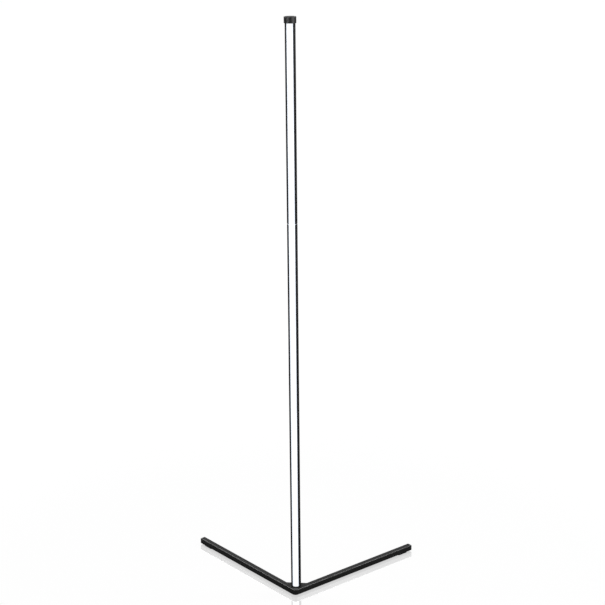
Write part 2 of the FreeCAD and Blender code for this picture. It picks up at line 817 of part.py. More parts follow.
def corner_hub():
    """The steel hub: seat for the column on top, wiring channel and bolt recess below."""
    body = hub_solid()
    seat = new_sketch(body, "XY_Plane", base_top)
    draw_circle(seat, (0, 0), s.pole_radius + s.socket_play)
    pocket(body, seat, s.seat_depth)
    cover_recess = new_sketch(body, "XY_Plane", s.foot_height)
    draw_polygon(cover_recess, cover_outline(s.cover_play))
    pocket(body, cover_recess, s.cover_wall, backwards=True)
    channel = new_sketch(body, "XY_Plane", cover_seat)
    draw_polygon(channel, channel_outline())
    pocket(body, channel, channel_top - cover_seat, backwards=True)
    bolt_recess = new_sketch(body, "XY_Plane", cover_seat)
    draw_circle(bolt_recess, (0, s.bolt_offset), s.bolt_head_radius + s.head_play)
    pocket(body, bolt_recess, s.head_recess, backwards=True)
    bolt_hole = new_sketch(body, "XY_Plane", recess_top)
    draw_circle(bolt_hole, (0, s.bolt_offset), s.bolt_radius + s.bolt_play)
    pocket(body, bolt_hole, column_foot - recess_top, backwards=True)
    wire_hole = new_sketch(body, "XY_Plane", channel_top)
    draw_circle(wire_hole, (0, wire_hole_y), s.wire_hole_radius)
    pocket(body, wire_hole, s.roof_wall, backwards=True)
    cover_threads = new_sketch(body, "XY_Plane", cover_seat)
    for at in cover_screw_places:
        draw_circle(cover_threads, at, s.small_screw_radius + s.screw_play)
    pocket(body, cover_threads, s.cover_screw_length - s.cover_wall + s.thread_spare, backwards=True)
    tenon_foot = bar_middle - tenon_side / 2
    arm_threads = new_sketch(body, "XY_Plane", tenon_foot)
    for side in (1, -1):
        for along in arm_screw_distances:
            draw_circle(arm_threads, along_arm(side, along), s.small_screw_radius + s.screw_play)
    arm_thread_depth = s.foot_height + s.arm_screw_length + s.thread_spare - tenon_foot
    pocket(body, arm_threads, arm_thread_depth, backwards=True)
    jack_place = (s.jack_offset, web_y + CLEAR, jack_z)
    jack_hole = cylinder(s.jack_radius + s.wall_play, s.rear_wall + CLEAR * 2, jack_place)
    lie_along_y(jack_hole, forwards=True)
    return finished(cut(body, jack_hole), "corner_hub")


def countersink(x, y, wall):
    """A tool for a countersunk hole from the base's underside through a wall."""
    shank = s.small_screw_radius + s.screw_play * 2
    through = cylinder(shank, wall + CLEAR, (x, y, s.foot_height))
    head = cone(s.small_head_radius + s.countersink_play, shank, s.small_head_height, (x, y, s.foot_height))
    return fuse(through, head)


def hub_cover():
    """Plate under the hub, flush with its underside, with three countersunk holes."""
    body = new_body()
    plan = new_sketch(body, "XY_Plane", s.foot_height)
    draw_polygon(plan, cover_outline(0.0))
    pad(body, plan, s.cover_wall)
    corners = [(float(x), float(y)) for x, y in cover_outline(0.0)]

    def at_corner(p):
        return any(near(p.x, x) and near(p.y, y) for x, y in corners)

    round_edges(body, s.cover_corner, every(at_corner))
    holes = [countersink(x, y, s.cover_wall) for x, y in cover_screw_places]
    return finished(cut(body, fuse(*holes)), "hub_cover")


def small_screw(length):
    """A countersunk screw that points up, with its head's face at height 0, as a plain shape."""
    shape = turned_piece(
        [
            (0, 0),
            (s.small_head_radius, 0),
            (s.small_screw_radius, s.small_head_height),
            (s.small_screw_radius, length),
            (0, length),
        ]
    )
    return shape.cut(hexagon(s.small_key_radius, s.small_key_depth + CLEAR, -CLEAR))


def small_screws(label, length, places):
    """Countersunk screws in the base's underside."""
    upright = FreeCAD.Rotation()
    spots = [FreeCAD.Placement(V(float(x), float(y), float(s.foot_height)), upright) for x, y in places]
    return copies(label, small_screw(length), spots)


# ---------------------------------------------------------------- base: column bolt and wiring

jack_z = s.foot_height + s.jack_height


def column_bolt():
    """Socket-head bolt from below through the hub into the column's foot plug."""
    foot = recess_top - s.bolt_head_height
    head = cylinder(s.bolt_head_radius, s.bolt_head_height, (0, s.bolt_offset, foot))
    shank = cylinder(s.bolt_radius, s.bolt_length, (0, s.bolt_offset, recess_top))
    key = doc.addObject("Part::Prism", "key")
    key.Polygon = 6
    key.Circumradius = s.bolt_key_radius
    bind(key, "Circumradius", s.bolt_key_radius)
    key.Height = s.bolt_key_depth
    bind(key, "Height", s.bolt_key_depth)
    place(key, (0, s.bolt_offset, foot))
    return finished(cut(fuse(head, shank), key), "column_bolt")


def foot_plug():
    """Bar in the rear channel of the column's foot, with the thread for the column's bolt."""
    bar = channel_bar(column_foot, column_foot + s.foot_plug_reach, s.spigot_play)
    depth = recess_top + s.bolt_length + s.thread_spare - column_foot
    thread = cylinder(s.bolt_radius + s.screw_play, depth, (0, s.bolt_offset, column_foot))
    return finished(cut(bar, thread), "foot_plug")


def power_jack():
    """Round low-voltage inlet through the web's rear face, with a mouth and a centre pin."""
    mouth_face = web_y + s.jack_flange
    flange = cylinder(s.jack_flange_radius, s.jack_flange, (s.jack_offset, mouth_face, jack_z))
    barrel = cylinder(s.jack_radius, s.jack_length, (s.jack_offset, web_y, jack_z))
    mouth = cylinder(s.jack_bore, s.jack_bore_depth, (s.jack_offset, mouth_face, jack_z))
    pin_length = s.jack_bore_depth - s.jack_pin_inset + CLEAR
    pin = cylinder(s.jack_pin_radius, pin_length, (s.jack_offset, mouth_face - s.jack_pin_inset, jack_z))
    for shape in (flange, barrel, mouth, pin):
        lie_along_y(shape, forwards=True)
    return finished(fuse(cut(fuse(flange, barrel), mouth), pin), "power_jack")


def jack_nut():
    """Hexagon nut on the jack's barrel, inside the hub."""
    face = web_y - s.rear_wall
    nut = doc.addObject("Part::Prism", "nut")
    nut.Polygon = 6
    nut.Circumradius = s.jack_nut_radius
    bind(nut, "Circumradius", s.jack_nut_radius)
    nut.Height = s.jack_nut_height
    bind(nut, "Height", s.jack_nut_height)
    place(nut, (s.jack_offset, face, jack_z))
    hole_place = (s.jack_offset, face + CLEAR, jack_z)
    hole = cylinder(s.jack_radius + s.screw_play, s.jack_nut_height + CLEAR * 2, hole_place)
    for shape in (nut, hole):
        lie_along_y(shape, forwards=True)
    return finished(cut(nut, hole), "jack_nut")


def lead_connector_foot():
    """Height of the lower end of the connector on the lowest strip board."""
    return section_foot(0) + s.strip_margin


def supply_lead():
    """Lead from the jack's rear end across the hub and up through the cable hole."""
    bend = float(s.lead_bend)
    x, y, z = float(s.jack_offset), float(wire_hole_y), float(jack_z)
    start = V(x, float(web_y - s.jack_length), z)
    end = V(0, y, float(lead_connector_foot()))
    slant = bend * (1 - HALF_ROOT)
    first = [V(x, y + bend, z), V(x - slant, y + slant, z), V(x - bend, y, z)]
    second = [V(bend, y, z), V(slant, y, z + slant), V(0, y, z + bend)]
    edges = [
        Part.LineSegment(start, first[0]).toShape(),
        Part.Arc(*first).toShape(),
        Part.LineSegment(first[2], second[0]).toShape(),
        Part.Arc(*second).toShape(),
        Part.LineSegment(second[2], end).toShape(),
    ]
    path = Part.Wire(edges)
    section = Part.Wire([Part.makeCircle(float(s.lead_radius), start, V(0, -1, 0))])
    made = doc.addObject("Part::Feature", "lead")
    made.Shape = path.makePipeShell([section], True, False)
    ideal = math.pi * s.lead_radius ** 2 * path.Length
    if abs(made.Shape.Volume - ideal) > LEAD_SLACK * ideal:
        raise RuntimeError("the lead's solid doesn't have the volume of its length")
    return finished(made, "supply_lead")


def lead_connector():
    """Connector at the lower end of the lowest strip board, which takes the lead."""
    foot = lead_connector_foot()
    front, middle, back = connector_depths()
    half = s.plug_width / 2
    return finished(box((-half, front, foot), (half, back, foot + s.header_length)), "lead_connector")


# ---------------------------------------------------------------- base: arms, end caps and feet


def lie_on_arm(body, side, height):
    """Turns a body drawn along X onto an arm, with its own origin at the base's corner."""
    return place(body, (0, corner_y, height), 45 if side > 0 else 135)


def square(sketch, side_length):
    """A square about the sketch's origin."""
    half = side_length / 2
    draw_polygon(sketch, [(-half, -half), (half, -half), (half, half), (-half, half)])


def arm(label, side):
    """Square steel tube with rounded long edges and two countersunk holes below."""
    body = new_body()
    start = s.hub_leg + s.arm_seam
    length = s.arm_reach - s.end_cap_flange - start
    outside = new_sketch(body, "YZ_Plane", start)
    square(outside, s.bar_size)
    pad(body, outside, length)
    half = s.bar_size / 2
    round_edges(body, s.bar_edge, every(lambda p: near(abs(p.y), half) and near(abs(p.z), half)))
    inside = new_sketch(body, "YZ_Plane", start)
    square(inside, s.bar_size - s.bar_wall * 2)
    pocket(body, inside, length, backwards=True)
    lie_on_arm(body, side, bar_middle)
    holes = [countersink(*along_arm(side, along), s.bar_wall) for along in arm_screw_distances]
    return finished(cut(body, fuse(*holes)), label)


def end_cap(label, side):
    """Moulded cap in an arm's end, with rounded outer edges and a hollow square plug."""
    body = new_body()
    face = s.arm_reach - s.end_cap_flange
    outside = new_sketch(body, "YZ_Plane", face)
    square(outside, s.bar_size)
    pad(body, outside, s.end_cap_flange)
    half = s.bar_size / 2
    end = s.arm_reach

    def long_edge(p):
        return near(abs(p.y), half) and near(abs(p.z), half)

    round_edges(body, s.end_cap_edge, every(long_edge))
    round_edges(body, s.end_cap_edge, every(lambda p: near(p.x, end)))
    plug = new_sketch(body, "YZ_Plane", face)
    square(plug, tenon_side)
    pad(body, plug, s.end_cap_reach, backwards=True)
    hollow = new_sketch(body, "YZ_Plane", face)
    square(hollow, tenon_side - s.end_cap_wall * 2)
    pocket(body, hollow, s.end_cap_reach)
    lie_on_arm(body, side, bar_middle)
    return finished(body, label)


def arm_foot(label, side):
    """Rubber pad under an arm, near its end."""
    body = new_body()
    end = s.arm_reach - s.end_cap_flange - s.arm_foot_inset
    start = end - s.arm_foot_length
    half = s.arm_foot_width / 2
    plan = new_sketch(body, "XY_Plane")
    draw_polygon(plan, [(start, -half), (end, -half), (end, half), (start, half)])
    pad(body, plan, s.foot_height)

    def upright(p):
        return near(abs(p.y), half) and (near(p.x, start) or near(p.x, end))

    round_edges(body, s.arm_foot_corner, every(upright))
    round_edges(body, s.foot_edge, every(lambda p: near(p.z, 0)))
    lie_on_arm(body, side, 0)
    return finished(body, label)


def corner_foot():
    """Round rubber pad under the column."""
    body = new_body()
    plan = new_sketch(body, "XY_Plane")
    draw_circle(plan, (0, 0), s.corner_foot_radius)
    pad(body, plan, s.foot_height)
    round_edges(body, s.foot_edge, every(lambda p: near(p.z, 0)))
    return finished(body, "corner_foot")


# ---------------------------------------------------------------- build, check, write


def build_base():
    corner_hub()
    hub_cover()
    small_screws("cover_screws", s.cover_screw_length, cover_screw_places)
    arm_screw_places = []
    for side, name in ((1, "right"), (-1, "left")):
        arm(f"{name}_arm", side)
        end_cap(f"{name}_end_cap", side)
        arm_foot(f"{name}_foot", side)
        arm_screw_places += [along_arm(side, along) for along in arm_screw_distances]
    small_screws("arm_screws", s.arm_screw_length, arm_screw_places)
    corner_foot()
    column_bolt()
    foot_plug()
    power_jack()
    jack_nut()
    supply_lead()
    lead_connector()


def build_section(name, number):
    """One section of the column with its light strip, contacts and screws."""
    foot = section_foot(number)
    column_tube(f"{name}_tube", number)
    diffuser(f"{name}_diffuser", number)
    if number == 0:
        window_end_stop()
    strip_board(f"{name}_strip_board", number)
    leds(f"{name}_leds", number)
    levels = [foot + s.grub_height, foot + s.section_length - s.grub_height]
    grub_screws(f"{name}_grub_screws", levels)
    if number > 0:
        pin_header(f"{name}_header", number)
    if number < 2:
        socket(f"{name}_socket", number)
        spigot(f"{name}_spigot", number)


def check_and_write():
    """Stops on a failed feature or an unsound solid, then writes one file for each piece."""
    doc.recompute()
    for made in doc.Objects:
        if "Invalid" in made.State or "Error" in made.State:
            raise RuntimeError(f"{made.Name} ({made.Label}) failed: {made.State}")
    os.makedirs("parts", exist_ok=True)
    for made in PARTS:
        shape = made.Shape
        if shape.isNull() or not shape.isValid() or not shape.Solids:
            raise RuntimeError(f"{made.Label} has no sound solid")
    for made in PARTS:
        shape = made.Shape
        shape.exportStep(f"parts/{made.Label}.step")
        print(f"{made.Label:22s} {len(shape.Solids):3d} solid(s) {shape.Volume:11.1f} mm3")
    print(len(PARTS), "pieces")


def main():
    build_base()
    for number, name in enumerate(("lower", "middle", "upper")):
        build_section(name, number)
    top_plug()
    top_cap()
    check_and_write()


main()
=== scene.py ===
"""Looks of a corner floor lamp: a round lit column that stands on a V of square black bars.

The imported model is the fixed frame. This file gives every piece its finish, softens the edges
of the extrusions, adds the small parts that repeat along the light strips, and sets up a plain
studio with the camera at the photograph's angle. It is laid out as an add-on and run as a script.
Lengths are in metres.
"""

import json
import math

import bmesh
import bpy
from bpy.props import FloatProperty, FloatVectorProperty, IntProperty, PointerProperty
from mathutils import Matrix, Vector

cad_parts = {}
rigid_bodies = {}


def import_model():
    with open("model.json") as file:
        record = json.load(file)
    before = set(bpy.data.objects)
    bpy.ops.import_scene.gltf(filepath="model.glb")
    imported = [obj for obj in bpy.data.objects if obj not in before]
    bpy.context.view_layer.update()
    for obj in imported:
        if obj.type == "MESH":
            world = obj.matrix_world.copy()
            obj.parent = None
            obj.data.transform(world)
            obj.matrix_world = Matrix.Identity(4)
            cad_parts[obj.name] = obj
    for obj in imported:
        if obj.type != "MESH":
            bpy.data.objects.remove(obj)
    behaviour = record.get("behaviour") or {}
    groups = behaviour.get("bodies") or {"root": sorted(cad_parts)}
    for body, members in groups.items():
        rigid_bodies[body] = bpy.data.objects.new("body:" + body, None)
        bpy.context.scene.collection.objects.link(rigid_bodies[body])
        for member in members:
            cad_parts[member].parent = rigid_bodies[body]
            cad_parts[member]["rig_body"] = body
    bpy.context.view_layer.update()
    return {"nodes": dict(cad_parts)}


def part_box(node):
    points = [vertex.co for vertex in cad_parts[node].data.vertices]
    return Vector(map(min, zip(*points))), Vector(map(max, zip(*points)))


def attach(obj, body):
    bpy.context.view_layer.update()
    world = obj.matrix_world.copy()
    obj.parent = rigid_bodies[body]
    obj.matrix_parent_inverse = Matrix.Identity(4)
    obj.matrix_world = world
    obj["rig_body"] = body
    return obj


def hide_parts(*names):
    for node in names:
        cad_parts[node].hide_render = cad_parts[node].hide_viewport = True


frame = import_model()

bl_info = {
    "name": "Corner Floor Lamp",
    "version": (1, 0, 0),
    "blender": (4, 5, 0),
    "location": "View3D > Sidebar > Corner Lamp",
    "description": "Dresses a corner floor lamp and sets up its studio",
    "category": "Object",
}

MM = 0.001
SECTIONS = ("lower", "middle", "upper")

# Nearly all of a noise lies between these two values.
NOISE_MIDDLE = {"From Min": 0.3, "From Max": 0.7}
# The CAD's meshes are loose triangles: points this close are one, and faces this flat are one face.
SAME_POINT = 0.5e-6
SAME_FACE = 0.5
# A tube's face is a sawn end where its normal points up or down by this much of its length.
SAWN_FACE = 0.99
# How far from its middle the lit cover starts and ends turning cooler and darker, a painted shade that
# makes it look round.
EDGE_SHADE_FROM, EDGE_SHADE_TO = 4.5 * MM, 7.8 * MM
# Steps of a rounded corner on a flat part and on an extrusion, and round the window and a flange.
FLAT_CORNER_STEPS, CORNER_STEPS = 6, 4
WINDOW_STEPS, FLANGE_STEPS = 49, 13
# Sines of the heights at which the surround that gloss sees starts and ends turning into the top.
SURROUND_END, TOP_START = 0.55, 0.9
# Distances at which the floor's own light starts and ends taking over from the softboxes'.
FLOOR_NEAR, FLOOR_FAR = 0.8, 2.5
FLOOR_HALF_SIDE = 20
FLOOR_ROUGHNESS = 0.02
# The camera's sensor in millimetres, and how far it sees.
SENSOR_WIDTH = 36
CAMERA_REACH = 100

# Softboxes: bearing to the right of -Y in degrees, distance, height, height aimed at on the column's
# axis, width, height of the box, radiance. The two rims draw the line along the base's front edges.
SOFTBOXES = {
    "left_softbox": (-36.6, 2.3, 1.0, 1.0, 1.3, 1.1, 4.2),
    "right_softbox": (63.4, 2.3, 1.0, 1.0, 2.0, 1.1, 3.4),
    "left_rim": (-122.0, 3.6, 3.6, 0.0, 2.0, 2.0, 13.0),
    "right_rim": (115.0, 3.4, 4.05, 0.0, 2.0, 2.0, 15.0),
    "overhead_softbox": (0.0, 0.1, 2.6, 0.0, 1.6, 1.6, 2.5),
}


def linear(code):
    """The linear colour of an sRGB hex value."""
    channels = [int(code[at : at + 2], 16) / 255 for at in (1, 3, 5)]
    return tuple(c / 12.92 if c <= 0.04045 else ((c + 0.055) / 1.055) ** 2.4 for c in channels)


def node_of(name):
    """A CAD node's object."""
    return frame["nodes"][name]


def body_of(name):
    """The body that a CAD node rides on."""
    return node_of(name)["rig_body"]


# Settings ---------------------------------------------------------------------------------


def colour(name, description, code):
    """A colour setting with an sRGB hex default."""
    return FloatVectorProperty(
        name=name, description=description, subtype="COLOR", size=3, min=0, max=1, default=linear(code)
    )


def length(name, description, default):
    """A length setting, its default in metres."""
    return FloatProperty(
        name=name, description=description, unit="LENGTH", precision=5, min=0, default=default
    )


def amount(name, description, default, low=0.0, high=1.0):
    """A plain number between two limits."""
    return FloatProperty(name=name, description=description, min=low, max=high, default=default)


def angle(name, description, degrees):
    """An angle setting, its default in degrees."""
    default = math.radians(degrees)
    return FloatProperty(name=name, description=description, subtype="ANGLE", default=default)


class FinishSettings(bpy.types.PropertyGroup):
    """Colours and gloss of the lamp's surfaces."""

    anodised_colour: colour("Anodised", "Black dye in the column's anodised layer", "#0A0A0C")
    anodised_gloss: amount("Anodised roughness", "Roughness of the anodised column", 0.5)
    anodised_shine: amount("Anodised shine", "Strength of its gloss, where half is plain glass", 0.25)
    coat_colour: colour("Powder coat", "Black powder coat of the base", "#0C0C0C")
    coat_gloss: amount("Powder coat roughness", "Roughness of the powder coat", 0.42)
    plastic_colour: colour("Moulded plastic", "Cap, plug, end stop and the arms' ends", "#0E0E10")
    plastic_gloss: amount("Plastic roughness", "Roughness of the moulded black plastic", 0.40)
    rubber_colour: colour("Rubber", "Black of the feet", "#171717")
    cover_colour: colour("Lit cover", "Light that the opal cover gives at its middle", "#FAFCFF")
    # Painted shade: the cover's light is made cooler and darker at its edges, so that the cover looks
    # round.
    cover_edge_shade_colour: colour("Lit cover's edge", "The same light at the cover's edges", "#DCE7F7")
    cover_body_colour: colour("Opal", "What the opal cover itself reflects", "#A8AAAB")
    cover_strength: amount("Cover strength", "How bright the lit cover is", 0.87, high=20.0)
    aluminium_colour: colour("Bare aluminium", "Cut and extruded aluminium", "#D6D8DA")
    zinc_colour: colour("Zinc plate", "Plated screws and nut", "#C3C6CA")
    oxide_colour: colour("Black oxide", "Blackened grub screws", "#1C1B1A")
    board_colour: colour("Solder mask", "White lacquer of the strip boards", "#F0F0EB")
    nylon_colour: colour("Nylon", "Natural nylon of the connectors", "#ECE6D6")
    brass_colour: colour("Brass", "Contact pins", "#D8B25C")


class StripSettings(bpy.types.PropertyGroup):
    """Sizes of what is printed and soldered on the light strips."""

    led_count: IntProperty(name="Packages", description="Packages on one board", min=1, default=26)
    group: IntProperty(name="Group", description="Packages between two cutting marks", min=1, default=3)
    phosphor_width: length("Phosphor", "Width of the phosphor window in a package", 4.2 * MM)
    phosphor_depth: length("Phosphor depth", "How far the phosphor stands out", 0.06 * MM)
    resistor_width: length("Resistor width", "Across the board", 3.2 * MM)
    resistor_height: length("Resistor height", "Along the board", 1.6 * MM)
    resistor_depth: length("Resistor depth", "Off the board", 0.55 * MM)
    resistor_end: length("Resistor end", "Tinned end of a resistor", 0.4 * MM)
    pad_width: length("Pad width", "Copper pad beside a cutting mark, across", 2.4 * MM)
    pad_height: length("Pad height", "The same pad along the board", 1.7 * MM)
    pad_offset: length("Pad offset", "From the board's middle to a pad's", 1.8 * MM)
    pad_corner: length("Pad corner", "Rounding of a pad", 0.3 * MM)
    corner: length("Corner", "Rounding of the other small parts", 0.1 * MM)
    print_depth: length("Print", "Thickness of pads and marks", 0.05 * MM)
    mark_width: length("Mark", "Width of a cutting mark", 0.3 * MM)
    pin_reach: length("Pin reach", "How far the headers' pins stand out", 8 * MM)


class ColumnSettings(bpy.types.PropertyGroup):
    """Sizes of the column's lit covers, and of the rounding on its cut ends."""

    radius: length("Radius", "Outside radius of the column", 12.5 * MM)
    window: angle("Window", "Half the angle that a cover fills", 36.4)
    foot_round: length("Foot rounding", "Rounding of the lowest cover's lower corners", 2.3 * MM)
    cover_wall: length("Cover wall", "Wall of the opal cover", 1.55 * MM)
    flange_wall: length("Flange wall", "Wall of the cover's retaining flanges", 1.2 * MM)
    flange_start: angle("Flange start", "Where a flange starts, from the middle", 28)
    flange_end: angle("Flange end", "Where a flange ends, from the middle", 52)
    cover_edge: length("Cover edge", "Rounding of a cover's cut ends", 0.25 * MM)
    tube_edge: length("Tube edge", "Rounding of a section's cut ends", 0.35 * MM)
    shoulder_edge: length("Shoulder edge", "Rounding of the spigots' edges", 0.2 * MM)


class StudioSettings(bpy.types.PropertyGroup):
    """Camera, lights and floor. The camera was fitted to the photograph."""

    camera_x: FloatProperty(name="Camera X", description="Sideways", unit="LENGTH", default=0.3538)
    camera_y: FloatProperty(name="Camera Y", description="In front", unit="LENGTH", default=-3.4245)
    camera_z: FloatProperty(name="Camera Z", description="Height", unit="LENGTH", default=1.7689)
    camera_turn: angle("Turn", "Camera's heading, to the left of +Y", 5.521)
    camera_tilt: angle("Tilt", "How far the camera looks down", 16.221)
    camera_roll: angle("Roll", "How far the camera leans", -0.520)
    focal_length: FloatProperty(
        name="Focal length", description="On a 36 mm sensor, in millimetres", min=1, default=88.630
    )
    ambient: amount("Ambient", "Even light from all round", 0.25, high=5.0)
    side_glow: amount("Surround", "What gloss sees level with the lamp, where 1 is white", 0.31)
    top_glow: amount("Top surround", "What gloss sees overhead", 0.3)
    floor_shade: amount("Floor", "How light the floor is for the lamp itself", 0.09)
    floor_light: amount("Floor light", "What the floor gives the camera besides its mirror image", 0.635)
    floor_chalk: amount("Floor chalk", "How strongly light and shadow show on the floor", 0.03)


# Finishes ---------------------------------------------------------------------------------


def add(tree, kind, inputs=None, **settings):
    """Adds a node. Inputs are links or values by socket name or number, settings are its properties."""
    node = tree.nodes.new(kind)
    for name, value in settings.items():
        setattr(node, name, value)
    for socket, value in (inputs or {}).items():
        if isinstance(value, bpy.types.NodeSocket):
            tree.links.new(value, node.inputs[socket])
        else:
            node.inputs[socket].default_value = value
    return node


def start_finish(name, **values):
    """A material, its tree, its shader with constant values, and its object coordinates."""
    finish = bpy.data.materials.new(name)
    finish.use_nodes = True
    tree = finish.node_tree
    tree.nodes.clear()
    names = {key: key.replace("_", " ").title().replace("Ior", "IOR") for key in values}
    shader = add(tree, "ShaderNodeBsdfPrincipled", {names[key]: value for key, value in values.items()})
    add(tree, "ShaderNodeOutputMaterial", {"Surface": shader.outputs["BSDF"]})
    place = add(tree, "ShaderNodeTexCoord").outputs["Object"]
    return finish, tree, shader, place


def opaque(rgb):
    """A colour with full alpha, as a socket takes it."""
    return (*rgb, 1.0)


def shaded(rgb, factor):
    """A colour made lighter or darker by a factor."""
    return opaque([min(1.0, channel * factor) for channel in rgb])


def grain(tree, place, spacing, detail=2.0, stretch=(1, 1, 1)):
    """Noise from 0 to 1 whose lumps are `spacing` metres apart, made longer by `stretch`."""
    scale = [1 / (spacing * along) for along in stretch]
    mapped = add(tree, "ShaderNodeMapping", {"Vector": place, "Scale": scale})
    inputs = {"Vector": mapped.outputs[0], "Scale": 1.0, "Detail": detail}
    return add(tree, "ShaderNodeTexNoise", inputs).outputs["Fac"]


def two_tones(tree, pattern, rgb, change, shader=None):
    """A colour and the same made lighter or darker by a factor, mixed along a pattern, on a shader."""
    share = add(tree, "ShaderNodeMapRange", {"Value": pattern, **NOISE_MIDDLE}).outputs["Result"]
    inputs = {"Factor": share, 6: opaque(rgb), 7: shaded(rgb, change)}
    tone = add(tree, "ShaderNodeMix", inputs, data_type="RGBA").outputs[2]
    if shader:
        tree.links.new(tone, shader.inputs["Base Color"])
    return tone


def texture(tree, shader, relief, gloss=()):
    """Gives a shader a relief and an uneven gloss.

    The relief is a pattern, its depth in metres and its strength. The gloss is any number of
    patterns, each with its lowest and highest roughness, which are added up.
    """
    pattern, depth, strength = relief
    bump = add(tree, "ShaderNodeBump", {"Height": pattern, "Distance": depth, "Strength": strength})
    tree.links.new(bump.outputs["Normal"], shader.inputs["Normal"])
    total = 0.0
    for pattern, low, high in gloss:
        spread = {"Value": pattern, **NOISE_MIDDLE, "To Min": low, "To Max": high}
        part = add(tree, "ShaderNodeMapRange", spread).outputs["Result"]
        total = add(tree, "ShaderNodeMath", {0: part, 1: total}, operation="ADD").outputs[0]
    if gloss:
        tree.links.new(total, shader.inputs["Roughness"])


def black_anodised_aluminium(look):
    """Extruded aluminium, anodised black and then sawn: satin with fine die lines, its cut ends bare."""
    shine = look.anodised_shine
    finish, tree, shader, place = start_finish("anodised_aluminium", ior=1.5, specular_ior_level=shine)
    # Die lines are about 0.2 mm apart. They are drawn 0.8 mm apart, or they would not show.
    lines = grain(tree, place, 0.8 * MM, detail=2, stretch=(1, 1, 300))
    handling = grain(tree, place, 35 * MM, detail=4)
    black = two_tones(tree, lines, look.anodised_colour, 1.4)
    facing = add(tree, "ShaderNodeNewGeometry").outputs["True Normal"]
    upward = add(tree, "ShaderNodeSeparateXYZ", {0: facing}).outputs["Z"]
    level = add(tree, "ShaderNodeMath", {0: upward}, operation="ABSOLUTE").outputs[0]
    flat = {0: level, 1: SAWN_FACE}
    sawn = add(tree, "ShaderNodeMath", flat, operation="GREATER_THAN").outputs[0]
    inputs = {"Factor": sawn, 6: black, 7: opaque(look.aluminium_colour)}
    tone = add(tree, "ShaderNodeMix", inputs, data_type="RGBA").outputs[2]
    tree.links.new(tone, shader.inputs["Base Color"])
    tree.links.new(sawn, shader.inputs["Metallic"])
    gloss = look.anodised_gloss
    uneven = [(lines, -0.03, 0.03), (handling, gloss - 0.04, gloss + 0.05)]
    texture(tree, shader, (lines, 0.006 * MM, 0.4), uneven)
    return finish


def black_powder_coat(look):
    """Powder coat baked on steel: black, half matt, with a soft orange peel."""
    finish, tree, shader, place = start_finish("powder_coated_steel", ior=1.5)
    peel = grain(tree, place, 1.6 * MM, detail=1.5)
    cloud = grain(tree, place, 22 * MM, detail=3)
    two_tones(tree, cloud, look.coat_colour, 1.4, shader)
    gloss = look.coat_gloss
    texture(tree, shader, (peel, 0.035 * MM, 0.6), [(cloud, gloss - 0.03, gloss + 0.05)])
    return finish


def black_moulded_abs(look):
    """Moulded ABS from a spark-eroded tool: black, with a fine even grain."""
    finish, tree, shader, place = start_finish("moulded_abs", ior=1.53)
    # The grain of the tool is about 0.1 mm. It is drawn at 0.35 mm, so that it shows close up.
    sparks = grain(tree, place, 0.35 * MM, detail=2)
    flow = grain(tree, place, 9 * MM, detail=2)
    two_tones(tree, flow, look.plastic_colour, 1.35, shader)
    gloss = look.plastic_gloss
    texture(tree, shader, (sparks, 0.012 * MM, 0.6), [(flow, gloss - 0.03, gloss + 0.04)])
    return finish


def black_rubber(look):
    """Moulded rubber: dull black, a little dusty."""
    finish, tree, shader, place = start_finish("moulded_rubber", ior=1.52)
    dust = grain(tree, place, 2.5 * MM, detail=6)
    two_tones(tree, dust, look.rubber_colour, 1.9, shader)
    texture(tree, shader, (dust, 0.03 * MM, 0.5), [(dust, 0.72, 0.88)])
    return finish


def opal_polycarbonate(look):
    """Extruded opal polycarbonate, lit from behind: even white, with a painted shade that makes it a
    touch cooler and darker towards its edges.
    """
    finish, tree, shader, place = start_finish(
        "opal_polycarbonate", ior=1.58, roughness=0.45, emission_strength=look.cover_strength
    )
    # Painted shade: the emitted light turns cooler and darker towards the cover's edges, where the round
    # cover turns away.
    across = add(tree, "ShaderNodeSeparateXYZ", {0: place}).outputs["X"]
    distance = add(tree, "ShaderNodeMath", {0: across}, operation="ABSOLUTE").outputs[0]
    inputs = {"Value": distance, "From Min": EDGE_SHADE_FROM, "From Max": EDGE_SHADE_TO}
    edge = add(tree, "ShaderNodeMapRange", inputs, interpolation_type="SMOOTHSTEP").outputs["Result"]
    inputs = {"Factor": edge, 6: opaque(look.cover_colour), 7: opaque(look.cover_edge_shade_colour)}
    glow = add(tree, "ShaderNodeMix", inputs, data_type="RGBA").outputs[2]
    tree.links.new(glow, shader.inputs["Emission Color"])
    frost = grain(tree, place, 0.5 * MM, detail=2)
    two_tones(tree, frost, look.cover_body_colour, 1.04, shader)
    texture(tree, shader, (frost, 0.008 * MM, 0.5))
    return finish


def metal(name, rgb, roughness, spacing, stretch=(1, 1, 1), depth=0.01 * MM):
    """Bare or plated metal, whose machining or plating pattern varies its tone and its gloss."""
    finish, tree, shader, place = start_finish(name, metallic=1.0)
    marks = grain(tree, place, spacing, detail=3, stretch=stretch)
    two_tones(tree, marks, rgb, 0.82, shader)
    texture(tree, shader, (marks, depth, 0.5), [(marks, roughness - 0.05, roughness + 0.07)])
    return finish


def bare_aluminium(look):
    """Cut and extruded aluminium without a coat: bright, with draw lines along it."""
    return metal("mill_finish_aluminium", look.aluminium_colour, 0.34, 0.5 * MM, stretch=(1, 1, 40))


def zinc_plated_steel(look):
    """Zinc-plated steel: cool grey with a faint cloud."""
    return metal("zinc_plated_steel", look.zinc_colour, 0.30, 1.2 * MM)


def black_oxide_steel(look):
    """Blackened and oiled steel: dark, slightly brown."""
    return metal("black_oxide_steel", look.oxide_colour, 0.42, 0.6 * MM)


def dull(name, rgb, roughness, spacing, depth, ior=1.5, strength=0.0, light=(1, 1, 1)):
    """A plain coloured surface with a fine grain, such as lacquer, nylon or cable sheath."""
    finish, tree, shader, place = start_finish(
        name, ior=ior, emission_color=opaque(light), emission_strength=strength
    )
    fine = grain(tree, place, spacing, detail=3)
    two_tones(tree, fine, rgb, 0.88, shader)
    texture(tree, shader, (fine, depth, 0.5), [(fine, roughness - 0.06, roughness + 0.06)])
    return finish


